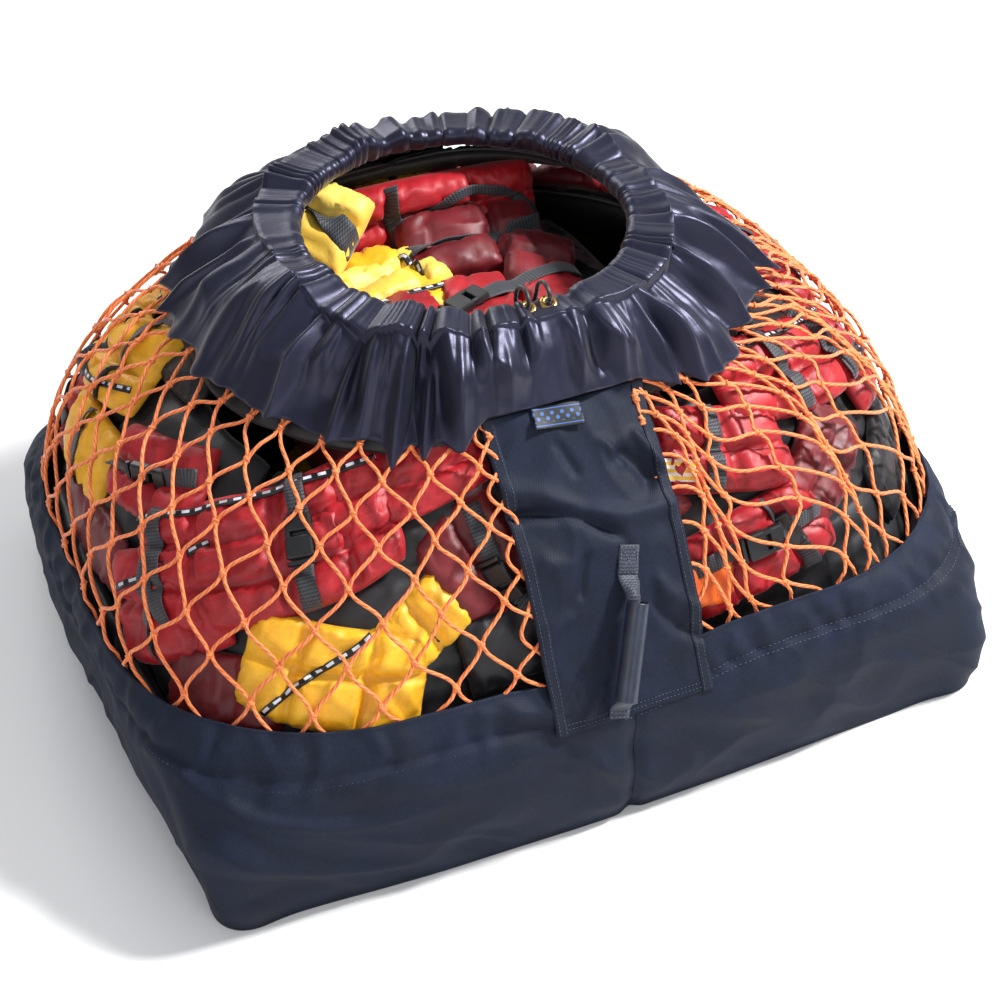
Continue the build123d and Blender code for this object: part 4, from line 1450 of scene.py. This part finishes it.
UNDER_NET = (
    # name, cloth, angle, height, turn, width, tall, depth and thickness in mm, channels, cross seams
    ("long_red", "red", -146, 0.368, 27, 345, 165, 27, 20, (-0.3, 0.36), (-0.45, 0.15, 0.62)),
    ("red_below", "red", -160, 0.292, 32, 210, 135, 33, 19, (0.05,), (-0.2, 0.5)),
    ("yellow_front", "yellow", -133, 0.268, -10, 230, 118, 30, 20, (0.1,), (-0.4, 0.35)),
    ("yellow_fold", "yellow", -121, 0.302, 34, 120, 92, 40, 17, (), (0.1,)),
    ("dark_by_panel", "dark_red", -109, 0.330, -62, 205, 110, 41, 18, (0.0,), (0.3,)),
    ("black_by_panel", "black", -107, 0.262, 8, 120, 90, 30, 14, (), ()),
    ("red_low_left", "dark_red", -148, 0.243, 6, 170, 80, 36, 14, (), (0.2,)),
    ("red_top_left", "red", -124, 0.432, 14, 190, 92, 26, 16, (0.0,), (-0.3,)),
    ("yellow_upper_left", "yellow", 160, 0.398, 24, 230, 120, 24, 20, (-0.1,), (-0.35, 0.3)),
    ("yellow_lower_left", "yellow", 168, 0.325, 8, 190, 96, 32, 17, (), (-0.1, 0.5)),
    ("red_left", "red", -170, 0.382, 18, 180, 104, 27, 18, (0.0,), (0.2,)),
    ("dark_left", "dark_red", 178, 0.262, 4, 210, 88, 34, 14, (), (0.0,)),
    ("black_left", "black", 170, 0.443, 10, 200, 66, 32, 12, (), ()),
    ("red_far_left", "red", 146, 0.300, -14, 220, 120, 29, 19, (0.0,), (-0.4, 0.3)),
    ("yellow_far_left", "yellow", 138, 0.400, 22, 190, 110, 27, 18, (0.1,), (0.1,)),
    ("red_right_top", "red", -60, 0.388, -16, 170, 118, 25, 19, (0.0,), (0.1,)),
    ("red_right_low", "red", -62, 0.282, 10, 215, 108, 30, 19, (-0.05,), (-0.4, 0.4)),
    ("orange_low", "orange", -73, 0.268, -12, 92, 66, 27, 14, (), ()),
    ("red_right_long", "red", -34, 0.405, -24, 290, 128, 24, 20, (-0.05,), (-0.5, 0.0, 0.5)),
    ("dark_right", "dark_red", -44, 0.330, 22, 190, 96, 33, 16, (0.0,), (0.2,)),
    ("black_right", "black", -25, 0.262, 4, 210, 84, 33, 14, (), ()),
    ("red_right_side", "red", -14, 0.330, -18, 215, 112, 30, 18, (0.0,), (-0.3, 0.3)),
    ("dark_right_top", "dark_red", -78, 0.385, -70, 140, 74, 34, 15, (), ()),
    ("red_far_right", "red", 6, 0.392, -12, 230, 116, 25, 19, (0.05,), (-0.2, 0.4)),
    ("red_right_foot", "red", 2, 0.262, 10, 200, 92, 31, 16, (), (0.1,)),
)
PIPED = {
    "long_red": ((-0.96, 0.74), (-0.4, 0.82), (0.2, 0.86), (0.95, 0.70)),
    "yellow_front": ((-0.62, -0.9), (-0.30, -0.1), (0.05, 0.5), (0.30, 0.92)),
    "red_below": ((-0.9, 0.2), (0.0, 0.5), (0.9, 0.7)),
    "yellow_upper_left": ((-0.9, -0.6), (0.0, -0.72), (0.9, -0.5)),
    "red_right_long": ((-0.9, 0.62), (0.0, 0.74), (0.92, 0.60)),
    "red_far_right": ((-0.9, -0.5), (0.9, -0.62)),
    "yellow_far_left": ((-0.8, 0.8), (0.0, 0.2), (0.9, 0.1)),
}
STRAPPED = {
    "long_red": (((0.28, -0.98), (0.34, 0.0), (0.30, 0.98)), ((-0.80, -0.9), (-0.74, 0.96))),
    "red_below": (((-0.2, -0.95), (0.1, 0.95)),),
    "yellow_upper_left": (((-0.45, -0.95), (-0.3, 0.95)), ((0.35, -0.95), (0.42, 0.95))),
    "yellow_lower_left": (((0.2, -0.95), (0.0, 0.95)),),
    "red_left": (((-0.9, -0.1), (0.9, 0.2)),),
    "dark_by_panel": (((-0.9, 0.4), (0.0, 0.1), (0.9, 0.3)),),
    "red_right_top": (((-0.3, -0.95), (-0.1, 0.95)),),
    "red_right_low": (((-0.95, 0.35), (0.95, 0.10)), ((0.5, -0.95), (0.35, 0.95))),
    "red_right_long": (((-0.2, -0.95), (-0.3, 0.95)), ((0.6, -0.95), (0.52, 0.95))),
    "red_right_side": (((-0.95, 0.1), (0.95, -0.3)),),
    "red_far_right": (((0.1, -0.95), (0.0, 0.95)),),
    "red_far_left": (((-0.95, 0.1), (0.95, 0.3)),),
}


def jacket_under_net(name, cloth, angle, z, turn, width, tall, depth, thick, channels, cross, seed):
    place = on_form(angle, z, turn, depth * MM)
    pad = Pad(place, (width * MM, tall * MM, thick * MM), channels, cross, seed)
    pad.piece(f"jacket_{name}", cloth)
    for path in STRAPPED.get(name, ()):
        line, out = load_trim.strap(pad, path, 0.022)
        if len(path) == 3 or name in ("red_right_low", "red_left"):
            load_trim.buckle(line, out, 0.55)
    if name in PIPED:
        load_trim.pipe(pad, PIPED[name])


for number, row in enumerate(UNDER_NET):
    jacket_under_net(*row, number)

# The back is filled in the same way.
rng = np.random.default_rng(31)
for number, angle in enumerate(np.linspace(28, 128, 6)):
    for z, tall, sunk in ((0.262, 92, 30), (0.342, 96, 23), (0.420, 88, 31)):
        cloth = rng.choice(["red", "red", "dark_red", "yellow", "black"])
        turn, width = rng.uniform(-13, 13), rng.uniform(152, 182)
        depth, lift = sunk + 3 * (number % 2), rng.uniform(-0.008, 0.008)
        name = f"back_{number}_{round(z * 1000)}"
        place, size = on_form(angle, z + lift, turn, depth * MM), (width * MM, tall * MM, 0.018)
        pad = Pad(place, size, (0.0,), (rng.uniform(-0.4, 0.4),), 60 + number)
        pad.piece(f"jacket_{name}", str(cloth), step=0.006)
        if rng.random() < 0.5:
            u = rng.uniform(-0.5, 0.5)
            load_trim.strap(pad, ((u, -0.95), (u + 0.1, 0.95)), 0.022)
        elif rng.random() < 0.4:
            load_trim.pipe(pad, ((-0.9, 0.6), (0.0, 0.7), (0.9, 0.55)))

# A small care tag on the jacket to the right of the front panel.
tag_place = on_form(-70, 0.382, -20, 0.004)
tag_u, tag_v = np.meshgrid(np.linspace(-0.019, 0.019, 9), np.linspace(-0.014, 0.014, 7))
tag_points = tag_place(tag_u, tag_v, 0.0025 * np.sin(tag_u * 120))
tag = grid_piece("care_tag", tag_points, tag_shade.material, thick=0.0006)
keep(tag, "bag")

# ---------------------------------------------------------------- jackets seen through the mouth
MOUTH_PADS = (
    # name, cloth; centre in mm, right, up; width, height and thickness in mm; channels, cross seams
    # dark_floor is a black jacket at the bottom of the mouth, its black partly painted shade of the deep
    # inside.
    ("dark_floor", "black", (60, 70, 388), (1, 0.1, 0), (-0.1, 1, 0.05), (330, 330, 16), (0.0,), ()),
    (
        "yellow_low", "yellow", (-105, 118, 428), (1, 0.35, 0), (-0.35, 1, 0.02),
        (185, 165, 22), (0.2,), (0.1,),
    ),
    (
        "yellow_shoulder", "pale_yellow", (-118, 214, 478), (0.62, 0.5, 0.42), (-0.55, 0.7, 0.3),
        (118, 82, 26), (), (0.2,),
    ),
    (
        "dark_behind", "dark_red", (62, 176, 432), (1, -0.1, 0), (0.1, 1, 0.25),
        (190, 110, 24), (0.0,), (0.3,),
    ),
    ("red_right", "dark_red", (120, 100, 428), (0.5, 1, -0.1), (-1, 0.4, 0.2), (130, 90, 22), (), (0.0,)),
    ("red_left", "red", (-150, 8, 424), (1, -0.3, 0), (0.3, 1, 0.1), (110, 120, 22), (), (0.0,)),
)
for number, (name, cloth, centre, right, up, size, channels, cross) in enumerate(MOUTH_PADS):
    size = tuple(a * MM for a in size)
    pad = Pad(in_space(np.array(centre) * MM, right, up), size, channels, cross, 90 + number, down=0.8)
    pad.piece(f"jacket_mouth_{name}", cloth)
    if name == "yellow_shoulder":
        load_trim.strap(pad, ((-0.25, -1.0), (0.05, 0.0), (0.25, 1.0)), 0.034)
    if name == "dark_behind":
        load_trim.strap(pad, ((-0.95, -0.2), (0.95, 0.1)), 0.025)
    if name == "yellow_low":
        load_trim.pipe(pad, ((-0.9, -0.7), (-0.1, -0.5), (0.9, -0.75)))

# The red jacket that stands behind the mouth: a sewn panel with an armhole, a yoke strap and a belt.
low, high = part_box("red_jacket_behind_mouth")
middle = np.array((low + high) / 2)
place = in_space(middle, (1, -0.06, 0), (0, 0.16, 1))
standing = Pad(place, (0.285, 0.122, 0.026), (0.30,), (-0.42, 0.38), 120, wrinkle=0.004, down=0.9)
standing.piece("jacket_behind_mouth", "red", "bag", ["red_jacket_behind_mouth"], step=0.004)
load_trim.strap(standing, ((-0.38, -0.98), (-0.36, 0.0), (-0.40, 0.98)), 0.025)
load_trim.strap(standing, ((-0.98, -0.62), (0.0, -0.70), (0.98, -0.60)), 0.030)
load_trim.strap(standing, ((-0.02, 0.35), (0.25, 0.72), (0.62, 0.62), (0.9, 0.1), (0.96, -0.4)), 0.014)
load_trim.sew(standing, ((-0.95, 0.30), (0.95, 0.30)))

# The loose jackets on top, each folded in two. Each one's folded-under half gets a darker cloth than its
# upper half, dark_red under red and yellow under pale_yellow: painted shade under the fold.
for node, body, cloth, shaded_under_cloth in (
    ("red_jacket_on_top", "red_jacket", "red", "dark_red"),
    ("yellow_jacket_on_top", "yellow_jacket", "pale_yellow", "yellow"),
):
    low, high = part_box(node)
    middle = np.array((low + high) / 2)
    wide, deep, tall = high.x - low.x, high.y - low.y, high.z - low.z
    red = body == "red_jacket"
    right = (1, -0.10, 0) if red else (1, 0.26, 0)
    lower_place = in_space(middle - (0, 0, tall * 0.21), right, (0.1, 1, 0))
    folded = Pad(lower_place, (wide * 0.98, deep * 0.98, tall * 0.27), (), (0.3,), 130, down=1.0)
    # Painted shade: the folded-under half takes the darker cloth.
    folded.piece(f"{body}_folded_under", shaded_under_cloth, body, settles=False)
    tip = (0.0, 1, -0.10) if red else (-0.26, 1, -0.12)
    upper_place = in_space(middle + (0, 0.014 if red else 0, tall * 0.24), right, tip)
    seams = ((), (-0.30, 0.36)) if red else ((0.12,), (0.42,))
    upper = Pad(upper_place, (wide * 1.06, deep * 1.12, tall * 0.26), *seams, 132, down=0.8)
    upper.piece(f"{body}_upper", cloth, body, [node], step=0.0036)
    trim = Trim(body)
    if red:
        belt = ((-0.98, -0.62), (-0.3, -0.30), (0.4, 0.22), (0.98, 0.50))
        line, out = trim.strap(upper, belt, 0.025, 0.0052)
        trim.buckle(line, out, 0.44)
        trim.sew(upper, ((-0.30, -0.95), (-0.30, 0.95)))
        trim.sew(upper, ((0.36, -0.95), (0.36, 0.95)))
    else:
        trim.pipe(upper, ((0.30, 0.96), (0.62, 0.20), (0.40, -0.95)))
        trim.sew(upper, ((-0.95, 0.12), (0.95, 0.12)))
    trim.finish(body)
load_trim.finish("packed_jacket")
settle()


# ---------------------------------------------------------------- studio
def studio():
    world = bpy.data.worlds.new("studio")
    bpy.context.scene.world = world
    world.use_nodes = True
    world.node_tree.nodes["Background"].inputs["Color"].default_value = (0.93, 0.95, 1.0, 1)
    world.node_tree.nodes["Background"].inputs["Strength"].default_value = 0.46
    floor_shade = Shader("pale_floor", 0.8)
    floor_shade.paint((0.86, 0.86, 0.86, 1))
    bpy.ops.mesh.primitive_plane_add(size=14, location=(0, 0, 0))
    floor = bpy.context.object
    floor.name = "floor"
    floor.data.materials.append(floor_shade.material)
    lights = (
        # name, place, size, watts
        ("key", (1.9, -0.6, 2.6), 0.45, 165),
        ("fill", (-2.4, -1.9, 1.7), 2.2, 22),
        ("front", (0.2, -3.0, 1.6), 1.6, 16),
        ("back", (-0.4, 2.6, 2.2), 1.4, 40),
    )
    for name, place, size, watts in lights:
        lamp = bpy.data.lights.new(name, "AREA")
        lamp.energy, lamp.size = watts, size
        made = bpy.data.objects.new(name, lamp)
        made.location = place
        made.rotation_euler = (Vector((0, 0, 0.3)) - Vector(place)).to_track_quat("-Z", "Y").to_euler()
        bpy.context.scene.collection.objects.link(made)


def camera():
    lens = bpy.data.cameras.new("camera")
    lens.lens, lens.sensor_width = 79.2, 36
    lens.clip_start, lens.clip_end = 0.05, 30
    made = bpy.data.objects.new("camera", lens)
    made.location = (-0.883, -2.0015, 1.949)
    target = Vector((-0.026, -0.103, 0.250))
    made.rotation_euler = (target - made.location).to_track_quat("-Z", "Y").to_euler()
    bpy.context.scene.collection.objects.link(made)
    bpy.context.scene.camera = made


studio()
camera()
bpy.context.scene.view_settings.view_transform = "Standard"
